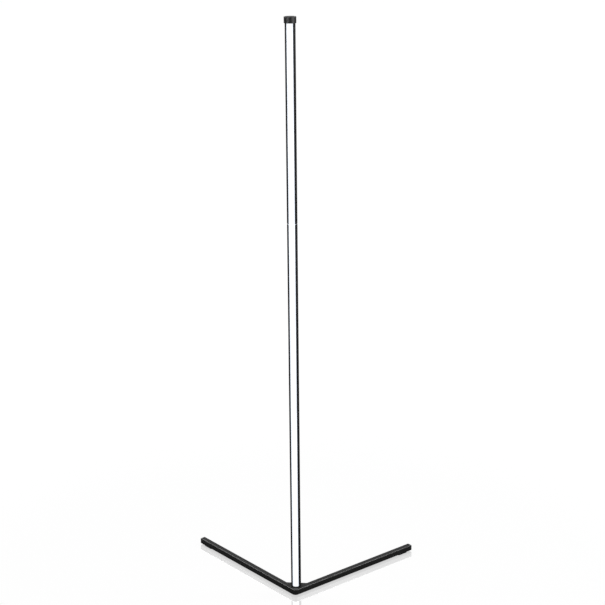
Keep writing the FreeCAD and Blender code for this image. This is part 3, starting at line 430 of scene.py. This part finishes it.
def pinned_connector(look, name, pin_low, pin_high):
    """Natural nylon whose contact pins, in one stretch of its height, are brass."""
    finish, tree, shader, place = start_finish(name, ior=1.53)
    height = add(tree, "ShaderNodeSeparateXYZ", {0: place}).outputs["Z"]
    above = add(tree, "ShaderNodeMath", {0: height, 1: pin_low}, operation="GREATER_THAN").outputs[0]
    below = add(tree, "ShaderNodeMath", {0: height, 1: pin_high}, operation="LESS_THAN").outputs[0]
    pins = add(tree, "ShaderNodeMath", {0: above, 1: below}, operation="MULTIPLY").outputs[0]
    fine = grain(tree, place, 0.8 * MM, detail=3)
    nylon = two_tones(tree, fine, look.nylon_colour, 0.92)
    inputs = {"Factor": pins, 6: nylon, 7: opaque(look.brass_colour)}
    tone = add(tree, "ShaderNodeMix", inputs, data_type="RGBA").outputs[2]
    tree.links.new(tone, shader.inputs["Base Color"])
    tree.links.new(pins, shader.inputs["Metallic"])
    roughness = add(tree, "ShaderNodeMapRange", {"Value": pins, "To Min": 0.5, "To Max": 0.28})
    tree.links.new(roughness.outputs["Result"], shader.inputs["Roughness"])
    texture(tree, shader, (fine, 0.01 * MM, 0.4))
    return finish


def wear(piece, finish):
    """Gives a piece one finish all over."""
    piece.data.materials.clear()
    piece.data.materials.append(finish)


# Pieces -----------------------------------------------------------------------------------


def softened(node, edge, segments=3, sharp=30):
    """A copy of a CAD node with merged faces and rounded edges, which then stands for the node."""
    source = node_of(node)
    mesh = source.data.copy()
    work = bmesh.new()
    work.from_mesh(mesh)
    bmesh.ops.remove_doubles(work, verts=work.verts, dist=SAME_POINT)
    flat = math.radians(SAME_FACE)
    bmesh.ops.dissolve_limit(work, angle_limit=flat, verts=work.verts, edges=work.edges)
    work.to_mesh(mesh)
    work.free()
    mesh.name = node + "_softened"
    piece = bpy.data.objects.new(node + "_softened", mesh)
    bpy.context.scene.collection.objects.link(piece)
    bevel = piece.modifiers.new("rounding", "BEVEL")
    bevel.width = edge
    bevel.segments = segments
    bevel.limit_method = "ANGLE"
    bevel.angle_limit = math.radians(sharp)
    bevel.miter_outer = "MITER_ARC"
    settle(piece)
    smooth(piece)
    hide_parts(node)
    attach(piece, body_of(node))
    return piece


def settle(piece):
    """Turns a piece's modifiers into plain mesh."""
    graph = bpy.context.evaluated_depsgraph_get()
    mesh = bpy.data.meshes.new_from_object(piece.evaluated_get(graph))
    piece.modifiers.clear()
    piece.data = mesh


def smooth(piece, degrees=32):
    """Shades a piece smooth, with its edges sharper than the angle kept."""
    piece.data.shade_smooth()
    piece.data.set_sharp_from_angle(angle=math.radians(degrees))


def inputs_of(tree, sizes):
    """Declares a geometry tree's named inputs, and returns its input node."""
    tree.interface.new_socket("Geometry", in_out="INPUT", socket_type="NodeSocketGeometry")
    kinds = {int: "NodeSocketInt", float: "NodeSocketFloat", bpy.types.Material: "NodeSocketMaterial"}
    for name, kind in sizes.items():
        tree.interface.new_socket(name, in_out="INPUT", socket_type=kinds[kind])
    tree.interface.new_socket("Geometry", in_out="OUTPUT", socket_type="NodeSocketGeometry")
    return tree.nodes.new("NodeGroupInput")


def finish_tree(tree, group, shape):
    """Ends a geometry tree in Realize Instances, Set Material and its output."""
    real = add(tree, "GeometryNodeRealizeInstances", {"Geometry": shape})
    dressed = add(
        tree,
        "GeometryNodeSetMaterial",
        {"Geometry": real.outputs["Geometry"], "Material": group.outputs["Material"]},
    )
    add(tree, "NodeGroupOutput", {"Geometry": dressed.outputs["Geometry"]})
    return tree


def grown(name, tree, values, body):
    """A piece that a geometry tree makes from named values, as plain mesh on a body."""
    piece = bpy.data.objects.new(name, bpy.data.meshes.new(name))
    bpy.context.scene.collection.objects.link(piece)
    modifier = piece.modifiers.new(tree.name, "NODES")
    modifier.node_group = tree
    for item in tree.interface.items_tree:
        if item.in_out == "INPUT" and item.name in values:
            modifier[item.identifier] = values[item.name]
    settle(piece)
    smooth(piece)
    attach(piece, body)
    return piece


def row_tree():
    """A column of flat parts with rounded corners, which face forward on a strip board."""
    tree = bpy.data.node_groups.new("row_on_strip", "GeometryNodeTree")
    sizes = {"Count": int, "Pitch": float, "First": float, "Across": float, "Face": float}
    sizes.update({"Width": float, "Height": float, "Depth": float, "Corner": float})
    group = inputs_of(tree, {**sizes, "Material": bpy.types.Material})
    given = group.outputs
    size = {"Width": given["Width"], "Height": given["Height"]}
    outline = add(tree, "GeometryNodeCurvePrimitiveQuadrilateral", size)
    rounded = add(
        tree,
        "GeometryNodeFilletCurve",
        {
            "Curve": outline.outputs[0],
            "Count": FLAT_CORNER_STEPS,
            "Radius": given["Corner"],
            "Limit Radius": True,
        },
        mode="POLY",
    )
    plate = add(tree, "GeometryNodeFillCurve", {"Curve": rounded.outputs[0]}, mode="NGONS")
    push = {"Mesh": plate.outputs[0], "Offset Scale": given["Depth"], "Individual": False}
    front = add(tree, "GeometryNodeExtrudeMesh", push)
    back = add(tree, "GeometryNodeFlipFaces", {"Mesh": plate.outputs[0]})
    both = add(tree, "GeometryNodeJoinGeometry")
    tree.links.new(front.outputs["Mesh"], both.inputs[0])
    tree.links.new(back.outputs["Mesh"], both.inputs[0])
    part = add(tree, "GeometryNodeMergeByDistance", {"Geometry": both.outputs[0], "Distance": 1e-7})
    start = {"X": given["Across"], "Y": given["Face"], "Z": given["First"]}
    foot = add(tree, "ShaderNodeCombineXYZ", start)
    step = add(tree, "ShaderNodeCombineXYZ", {"Z": given["Pitch"]})
    line = add(
        tree,
        "GeometryNodeMeshLine",
        {"Count": given["Count"], "Start Location": foot.outputs[0], "Offset": step.outputs[0]},
        mode="OFFSET",
    )
    upright = (math.radians(90), 0, 0)
    parts = add(
        tree,
        "GeometryNodeInstanceOnPoints",
        {"Points": line.outputs[0], "Instance": part.outputs[0], "Rotation": upright},
    )
    return finish_tree(tree, group, parts.outputs[0])


def arc_wall(tree, given, radius, wall, start, sweep, steps):
    """A wall of a tube: a rounded section as high as the piece, swept along an arc round the axis."""
    half = add(tree, "ShaderNodeMath", {0: wall, 1: 0.5}, operation="MULTIPLY").outputs[0]
    middle = add(tree, "ShaderNodeMath", {0: radius, 1: half}, operation="SUBTRACT").outputs[0]
    path = add(
        tree,
        "GeometryNodeCurveArc",
        {"Resolution": steps, "Radius": middle, "Start Angle": start, "Sweep Angle": sweep},
    )
    ends = {0: given["Top"], 1: given["Foot"]}
    tall = add(tree, "ShaderNodeMath", ends, operation="SUBTRACT").outputs[0]
    outline = add(tree, "GeometryNodeCurvePrimitiveQuadrilateral", {"Width": wall, "Height": tall})
    section = add(
        tree,
        "GeometryNodeFilletCurve",
        {
            "Curve": outline.outputs[0],
            "Count": CORNER_STEPS,
            "Radius": given["Edge"],
            "Limit Radius": True,
        },
        mode="POLY",
    )
    swept = add(
        tree,
        "GeometryNodeCurveToMesh",
        {"Curve": path.outputs[0], "Profile Curve": section.outputs[0], "Fill Caps": True},
    )
    both = add(tree, "ShaderNodeMath", ends, operation="ADD").outputs[0]
    level = add(tree, "ShaderNodeMath", {0: both, 1: 0.5}, operation="MULTIPLY").outputs[0]
    lift = add(tree, "ShaderNodeCombineXYZ", {"Z": level}).outputs[0]
    moved = {"Geometry": swept.outputs[0], "Translation": lift}
    return add(tree, "GeometryNodeTransform", moved).outputs[0]


def round_foot(tree, given, wall):
    """Lifts the lower corners of the window wall along an arc, so that its foot is rounded."""
    turn = given["Foot Round"]
    sine = add(tree, "ShaderNodeMath", {0: given["Half Angle"]}, operation="SINE").outputs[0]
    side = add(tree, "ShaderNodeMath", {0: given["Radius"], 1: sine}, operation="MULTIPLY").outputs[0]
    straight = add(tree, "ShaderNodeMath", {0: side, 1: turn}, operation="SUBTRACT").outputs[0]
    position = add(tree, "GeometryNodeInputPosition").outputs[0]
    at = add(tree, "ShaderNodeSeparateXYZ", {0: position}).outputs
    across = add(tree, "ShaderNodeMath", {0: at["X"]}, operation="ABSOLUTE").outputs[0]
    past = add(tree, "ShaderNodeMath", {0: across, 1: straight}, operation="SUBTRACT").outputs[0]
    outside = add(tree, "ShaderNodeMath", {0: past, 1: 0.0}, operation="MAXIMUM").outputs[0]
    arc = add(tree, "ShaderNodeMath", {0: outside, 1: turn}, operation="MINIMUM").outputs[0]
    # The rise is what a circle of that radius loses: r - sqrt(r * r - arc * arc).
    squares = [
        add(tree, "ShaderNodeMath", {0: part, 1: part}, operation="MULTIPLY").outputs[0]
        for part in (turn, arc)
    ]
    rest = add(tree, "ShaderNodeMath", dict(enumerate(squares)), operation="SUBTRACT").outputs[0]
    level = add(tree, "ShaderNodeMath", {0: rest}, operation="SQRT").outputs[0]
    rise = add(tree, "ShaderNodeMath", {0: turn, 1: level}, operation="SUBTRACT").outputs[0]
    offset = add(tree, "ShaderNodeCombineXYZ", {"Z": rise}).outputs[0]
    ends = {0: given["Top"], 1: given["Foot"]}
    both = add(tree, "ShaderNodeMath", ends, operation="ADD").outputs[0]
    middle = add(tree, "ShaderNodeMath", {0: both, 1: 0.5}, operation="MULTIPLY").outputs[0]
    low = add(tree, "ShaderNodeMath", {0: at["Z"], 1: middle}, operation="LESS_THAN").outputs[0]
    moved = {"Geometry": wall, "Selection": low, "Offset": offset}
    return add(tree, "GeometryNodeSetPosition", moved).outputs[0]


def cover_tree():
    """The opal cover: a window wall, and behind each of its edges a flange that holds it."""
    tree = bpy.data.node_groups.new("opal_cover", "GeometryNodeTree")
    names = ["Foot", "Top", "Foot Round", "Radius", "Wall", "Half Angle"]
    names += ["Flange Wall", "Flange Start", "Flange End", "Edge"]
    group = inputs_of(tree, {**{name: float for name in names}, "Material": bpy.types.Material})
    given = group.outputs
    front = math.radians(-90)
    half, start, end = given["Half Angle"], given["Flange Start"], given["Flange End"]
    left = add(tree, "ShaderNodeMath", {0: front, 1: half}, operation="SUBTRACT").outputs[0]
    whole = add(tree, "ShaderNodeMath", {0: half, 1: 2.0}, operation="MULTIPLY").outputs[0]
    window = arc_wall(tree, given, given["Radius"], given["Wall"], left, whole, WINDOW_STEPS)
    shell = {0: given["Radius"], 1: given["Wall"]}
    inner = add(tree, "ShaderNodeMath", shell, operation="SUBTRACT").outputs[0]
    span = add(tree, "ShaderNodeMath", {0: end, 1: start}, operation="SUBTRACT").outputs[0]
    right = add(tree, "ShaderNodeMath", {0: front, 1: start}, operation="ADD").outputs[0]
    far = add(tree, "ShaderNodeMath", {0: front, 1: end}, operation="SUBTRACT").outputs[0]
    whole_cover = add(tree, "GeometryNodeJoinGeometry")
    tree.links.new(round_foot(tree, given, window), whole_cover.inputs[0])
    for turned in (right, far):
        flange = arc_wall(tree, given, inner, given["Flange Wall"], turned, span, FLANGE_STEPS)
        tree.links.new(flange, whole_cover.inputs[0])
    return finish_tree(tree, group, whole_cover.outputs[0])


class LampOperator:
    """What the lamp's operators share: they can be undone."""

    bl_options = {"REGISTER", "UNDO"}


class CORNERLAMP_OT_column(LampOperator, bpy.types.Operator):
    """Dresses the column's three tubes, their spigots, their grub screws and the threaded foot bar"""

    bl_idname = "cornerlamp.column"
    bl_label = "Column"

    def execute(self, context):
        look, sizes = context.scene.lamp_finish, context.scene.lamp_column
        anodised = black_anodised_aluminium(look)
        bare = bare_aluminium(look)
        oxide = black_oxide_steel(look)
        for section in SECTIONS:
            tube = softened(section + "_tube", sizes.tube_edge)
            wear(tube, anodised)
            wear(node_of(section + "_grub_screws"), oxide)
        for section in SECTIONS[:2]:
            spigot = softened(section + "_spigot", sizes.shoulder_edge)
            wear(spigot, bare)
        wear(node_of("foot_plug"), bare)
        return {"FINISHED"}


class CORNERLAMP_OT_covers(LampOperator, bpy.types.Operator):
    """Makes the three opal covers as extrusions with rounded ends, and lights them"""

    bl_idname = "cornerlamp.covers"
    bl_label = "Lit covers"

    def execute(self, context):
        look, sizes = context.scene.lamp_finish, context.scene.lamp_column
        opal = opal_polycarbonate(look)
        tree = cover_tree()
        for section in SECTIONS:
            node = section + "_diffuser"
            low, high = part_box(node)
            values = {
                "Foot": low.z,
                "Top": high.z,
                "Foot Round": sizes.foot_round if section == "lower" else 0.0,
                "Radius": sizes.radius,
                "Wall": sizes.cover_wall,
                "Half Angle": sizes.window,
                "Flange Wall": sizes.flange_wall,
                "Flange Start": sizes.flange_start,
                "Flange End": sizes.flange_end,
                "Edge": sizes.cover_edge,
                "Material": opal,
            }
            cover = grown(section + "_opal_cover", tree, values, body_of(node))
            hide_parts(node)
            wear(node_of(node), opal)
        return {"FINISHED"}


class CORNERLAMP_OT_light_strips(LampOperator, bpy.types.Operator):
    """Dresses the boards and packages, and adds phosphor, resistors, pads and cutting marks"""

    bl_idname = "cornerlamp.light_strips"
    bl_label = "Light strips"

    def execute(self, context):
        look, sizes = context.scene.lamp_finish, context.scene.lamp_strip
        mask = dull("solder_mask", look.board_colour, 0.38, 1.5 * MM, 0.01 * MM)
        package = dull("moulded_led_package", linear("#F4F4F0"), 0.45, 0.5 * MM, 0.01 * MM)
        yellow, light = linear("#F2D85A"), linear("#FFF6DA")
        phosphor = dull("silicone_phosphor", yellow, 0.3, 0.4 * MM, 0.02 * MM, strength=2.0, light=light)
        ceramic = dull("glazed_resistor", linear("#1B1B1D"), 0.3, 0.4 * MM, 0.005 * MM)
        tin = metal("tinned_copper", linear("#CDD0D2"), 0.28, 0.4 * MM)
        ink = dull("printed_ink", linear("#202124"), 0.5, 0.4 * MM, 0.002 * MM)
        tree = row_tree()
        for section in SECTIONS:
            wear(node_of(section + "_strip_board"), mask)
            wear(node_of(section + "_leds"), package)
            self.dress_board(section, sizes, tree, phosphor, ceramic, tin, ink)
        return {"FINISHED"}

    def dress_board(self, section, sizes, tree, phosphor, ceramic, tin, ink):
        """Adds the rows of small parts on one section's board."""
        low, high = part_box(section + "_leds")
        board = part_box(section + "_strip_board")
        side = high.x - low.x
        pitch = (high.z - low.z - side) / (sizes.led_count - 1)
        first = low.z + side / 2
        front, lacquer = low.y, board[0].y
        groups = (sizes.led_count - 2) // sizes.group
        gap = first + pitch / 2
        width, height, depth = sizes.resistor_width, sizes.resistor_height, sizes.resistor_depth
        window, fine, end = sizes.phosphor_width, sizes.corner, sizes.resistor_end
        pad_rise = (sizes.pad_height + sizes.mark_width) / 2
        cut = gap + pitch * 2
        # Name, count, pitches to the next, height of the first, place across, face that it stands
        # on, width, height, depth, corner, finish.
        rows = [
            ("phosphor", sizes.led_count, 1, first, 0, front, window, window,
             sizes.phosphor_depth, window / 2, phosphor),
            ("resistors", groups, sizes.group, gap, 0, lacquer, width - 2 * end, height,
             depth, fine, ceramic),
            ("resistor_ends", groups, sizes.group, gap, 0, lacquer, width, height - fine,
             depth - fine, fine, tin),
            ("cutting_marks", groups, sizes.group, cut, 0, lacquer, board[1].x - board[0].x,
             sizes.mark_width, sizes.print_depth / 2, fine, ink),
        ]
        for side_name, across in (("left", -sizes.pad_offset), ("right", sizes.pad_offset)):
            for level, rise in (("under", -pad_rise), ("over", pad_rise)):
                rows.append(
                    (f"pads_{side_name}_{level}", groups, sizes.group, cut + rise, across, lacquer,
                     sizes.pad_width, sizes.pad_height, sizes.print_depth, sizes.pad_corner, tin)
                )
        for name, count, stride, start, across, face, wide, tall, depth, corner, finish in rows:
            values = {
                "Count": count, "Pitch": pitch * stride, "First": start, "Across": across, "Face": face,
                "Width": wide, "Height": tall, "Depth": depth, "Corner": corner, "Material": finish,
            }
            grown(f"{section}_{name}", tree, values, body_of(section + "_strip_board"))


class CORNERLAMP_OT_connectors(LampOperator, bpy.types.Operator):
    """Gives the nylon connectors their brass pins"""

    bl_idname = "cornerlamp.connectors"
    bl_label = "Connectors"

    def execute(self, context):
        look, sizes = context.scene.lamp_finish, context.scene.lamp_strip
        nylon = dull("natural_nylon", look.nylon_colour, 0.5, 0.8 * MM, 0.01 * MM)
        for name in ("lower_socket", "middle_socket", "lead_connector"):
            wear(node_of(name), nylon)
        for name in ("middle_header", "upper_header"):
            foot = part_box(name)[0].z
            finish = pinned_connector(look, name + "_nylon", foot - MM, foot + sizes.pin_reach)
            wear(node_of(name), finish)
        return {"FINISHED"}


class CORNERLAMP_OT_mouldings(LampOperator, bpy.types.Operator):
    """Finishes the moulded pieces: the cap and its plug, the window's end stop and the arms' ends"""

    bl_idname = "cornerlamp.mouldings"
    bl_label = "Mouldings"

    def execute(self, context):
        plastic = black_moulded_abs(context.scene.lamp_finish)
        for name in ("top_cap", "top_plug", "window_end_stop", "left_end_cap", "right_end_cap"):
            wear(node_of(name), plastic)
        return {"FINISHED"}


class CORNERLAMP_OT_base(LampOperator, bpy.types.Operator):
    """Finishes the hub, its cover, the arms, their feet and their screws"""

    bl_idname = "cornerlamp.base"
    bl_label = "Base"

    def execute(self, context):
        look = context.scene.lamp_finish
        coat = black_powder_coat(look)
        rubber = black_rubber(look)
        zinc = zinc_plated_steel(look)
        for name in ("corner_hub", "hub_cover", "left_arm", "right_arm"):
            wear(node_of(name), coat)
        for name in ("corner_foot", "left_foot", "right_foot"):
            wear(node_of(name), rubber)
        for name in ("cover_screws", "arm_screws", "column_bolt", "jack_nut"):
            wear(node_of(name), zinc)
        return {"FINISHED"}


class CORNERLAMP_OT_power(LampOperator, bpy.types.Operator):
    """Finishes the power jack and the lead inside the base"""

    bl_idname = "cornerlamp.power"
    bl_label = "Power inlet"

    def execute(self, context):
        wear(node_of("power_jack"), dull("black_nylon", linear("#141416"), 0.42, 0.5 * MM, 0.01 * MM))
        wear(node_of("supply_lead"), dull("pvc_sheath", linear("#1A1A1B"), 0.5, 0.7 * MM, 0.01 * MM))
        return {"FINISHED"}


# Studio -----------------------------------------------------------------------------------


def white_world(scene, studio):
    """A white background for the camera. Gloss sees it dimmer, as in a studio with dark screens."""
    world = bpy.data.worlds.new("studio")
    scene.world = world
    world.use_nodes = True
    tree = world.node_tree
    tree.nodes.clear()
    rays = add(tree, "ShaderNodeLightPath").outputs
    direction = add(tree, "ShaderNodeTexCoord").outputs["Generated"]
    part = add(tree, "ShaderNodeSeparateXYZ", {0: direction}).outputs
    glow = {"To Min": studio.side_glow, "To Max": studio.top_glow}
    steep = {"Value": part["Z"], "From Min": SURROUND_END, "From Max": TOP_START, **glow}
    above = add(tree, "ShaderNodeMapRange", steep).outputs["Result"]
    plain = {"Factor": rays["Is Glossy Ray"], 2: studio.ambient, 3: above}
    level = add(tree, "ShaderNodeMix", plain, data_type="FLOAT").outputs[0]
    seen = {0: rays["Is Camera Ray"], 1: rays["Is Transmission Ray"]}
    direct = add(tree, "ShaderNodeMath", seen, operation="MAXIMUM").outputs[0]
    white = {"Factor": direct, 2: level, 3: 1.0}
    strength = add(tree, "ShaderNodeMix", white, data_type="FLOAT").outputs[0]
    light = add(tree, "ShaderNodeBackground", {"Color": opaque((1, 1, 1)), "Strength": strength})
    add(tree, "ShaderNodeOutputWorld", {"Surface": light.outputs[0]})


def white_floor(studio):
    """A white polished floor. The camera sees it white with a pale mirror image and a soft shadow."""
    finish = bpy.data.materials.new("studio_floor")
    finish.use_nodes = True
    tree = finish.node_tree
    tree.nodes.clear()
    rays = add(tree, "ShaderNodeLightPath").outputs
    place = add(tree, "ShaderNodeTexCoord").outputs["Object"]
    distance = add(tree, "ShaderNodeVectorMath", {0: place}, operation="LENGTH").outputs["Value"]
    # Far from the lamp the softboxes no longer reach the floor, so its own light makes up the white.
    reach = {"Value": distance, "From Min": FLOOR_NEAR, "From Max": FLOOR_FAR}
    level = {"To Min": studio.floor_light, "To Max": 1 - studio.side_glow}
    strength = add(tree, "ShaderNodeMapRange", {**reach, **level}).outputs["Result"]
    light = add(tree, "ShaderNodeEmission", {"Color": opaque((1, 1, 1)), "Strength": strength})
    gloss = {"Color": opaque((1, 1, 1)), "Roughness": FLOOR_ROUGHNESS}
    mirror = add(tree, "ShaderNodeBsdfGlossy", gloss)
    matt = add(tree, "ShaderNodeBsdfDiffuse", {"Color": shaded((1, 1, 1), studio.floor_chalk)})
    lit = add(tree, "ShaderNodeAddShader", {0: light.outputs[0], 1: mirror.outputs[0]})
    seen = add(tree, "ShaderNodeAddShader", {0: lit.outputs[0], 1: matt.outputs[0]})
    plain = add(tree, "ShaderNodeBsdfDiffuse", {"Color": shaded((1, 1, 1), studio.floor_shade)})
    direct = {0: rays["Is Camera Ray"], 1: rays["Is Transmission Ray"]}
    factor = add(tree, "ShaderNodeMath", direct, operation="MAXIMUM").outputs[0]
    mix = add(tree, "ShaderNodeMixShader", {0: factor, 1: plain.outputs[0], 2: seen.outputs[0]})
    add(tree, "ShaderNodeOutputMaterial", {"Surface": mix.outputs[0]})
    return finish


def softbox(name, bearing, distance, height, aim, wide, tall, radiance):
    """A soft rectangular lamp of a given radiance, turned to face a point on the column's axis."""
    light = bpy.data.lights.new(name, "AREA")
    light.shape = "RECTANGLE"
    light.size, light.size_y = wide, tall
    light.energy = radiance * wide * tall * math.pi
    lamp = bpy.data.objects.new(name, light)
    turn = math.radians(bearing)
    lamp.location = (math.sin(turn) * distance, -math.cos(turn) * distance, height)
    lamp.rotation_euler = (Vector((0, 0, aim)) - lamp.location).to_track_quat("-Z", "Y").to_euler()
    bpy.context.scene.collection.objects.link(lamp)


class CORNERLAMP_OT_studio(LampOperator, bpy.types.Operator):
    """Makes the floor, the background, the lights and the camera"""

    bl_idname = "cornerlamp.studio"
    bl_label = "Studio"

    def execute(self, context):
        scene, studio = context.scene, context.scene.lamp_studio
        scene.view_settings.view_transform = "Standard"
        white_world(scene, studio)
        self.make_floor(studio)
        for name, numbers in SOFTBOXES.items():
            softbox(name, *numbers)
        self.make_camera(scene, studio)
        return {"FINISHED"}

    def make_floor(self, studio):
        """A plain floor that the lamp stands on."""
        mesh = bpy.data.meshes.new("floor")
        signs = ((-1, -1), (1, -1), (1, 1), (-1, 1))
        corners = [(FLOOR_HALF_SIDE * x, FLOOR_HALF_SIDE * y, 0) for x, y in signs]
        mesh.from_pydata(corners, [], [(0, 1, 2, 3)])
        floor = bpy.data.objects.new("floor", mesh)
        bpy.context.scene.collection.objects.link(floor)
        wear(floor, white_floor(studio))

    def make_camera(self, scene, studio):
        """The camera, from its place, heading, tilt and roll."""
        turn, tilt, roll = studio.camera_turn, studio.camera_tilt, studio.camera_roll
        camera = bpy.data.objects.new("camera", bpy.data.cameras.new("camera"))
        camera.data.lens = studio.focal_length
        camera.data.sensor_width = SENSOR_WIDTH
        camera.data.clip_end = CAMERA_REACH
        place = Matrix.Translation((studio.camera_x, studio.camera_y, studio.camera_z))
        heading = Matrix.Rotation(turn, 4, "Z") @ Matrix.Rotation(math.radians(90) - tilt, 4, "X")
        camera.matrix_world = place @ heading @ Matrix.Rotation(roll, 4, "Z")
        scene.collection.objects.link(camera)
        scene.camera = camera


# Add-on -----------------------------------------------------------------------------------

OPERATORS = (
    CORNERLAMP_OT_column,
    CORNERLAMP_OT_covers,
    CORNERLAMP_OT_light_strips,
    CORNERLAMP_OT_connectors,
    CORNERLAMP_OT_mouldings,
    CORNERLAMP_OT_base,
    CORNERLAMP_OT_power,
    CORNERLAMP_OT_studio,
)


class CORNERLAMP_PT_sidebar(bpy.types.Panel):
    """Lists the steps and the settings of the lamp"""

    bl_idname = "CORNERLAMP_PT_sidebar"
    bl_label = "Corner Floor Lamp"
    bl_space_type = "VIEW_3D"
    bl_region_type = "UI"
    bl_category = "Corner Lamp"

    def draw(self, context):
        column = self.layout.column()
        for operator in OPERATORS:
            column.operator(operator.bl_idname)
        for name in SETTINGS:
            settings = getattr(context.scene, name)
            box = self.layout.box()
            for key in settings.__annotations__:
                box.prop(settings, key)


SETTINGS = {
    "lamp_finish": FinishSettings,
    "lamp_strip": StripSettings,
    "lamp_column": ColumnSettings,
    "lamp_studio": StudioSettings,
}
CLASSES = (*SETTINGS.values(), *OPERATORS, CORNERLAMP_PT_sidebar)


def register():
    """Registers the classes and hangs the settings on the scene."""
    for made in CLASSES:
        bpy.utils.register_class(made)
    for name, group in SETTINGS.items():
        setattr(bpy.types.Scene, name, PointerProperty(type=group))


def unregister():
    """Takes the settings and the classes away again."""
    for name in SETTINGS:
        delattr(bpy.types.Scene, name)
    for made in reversed(CLASSES):
        bpy.utils.unregister_class(made)


def main():
    """Runs every operator once."""
    register()
    for operator in OPERATORS:
        group, name = operator.bl_idname.split(".")
        getattr(getattr(bpy.ops, group), name)()


if __name__ == "__main__":
    main()
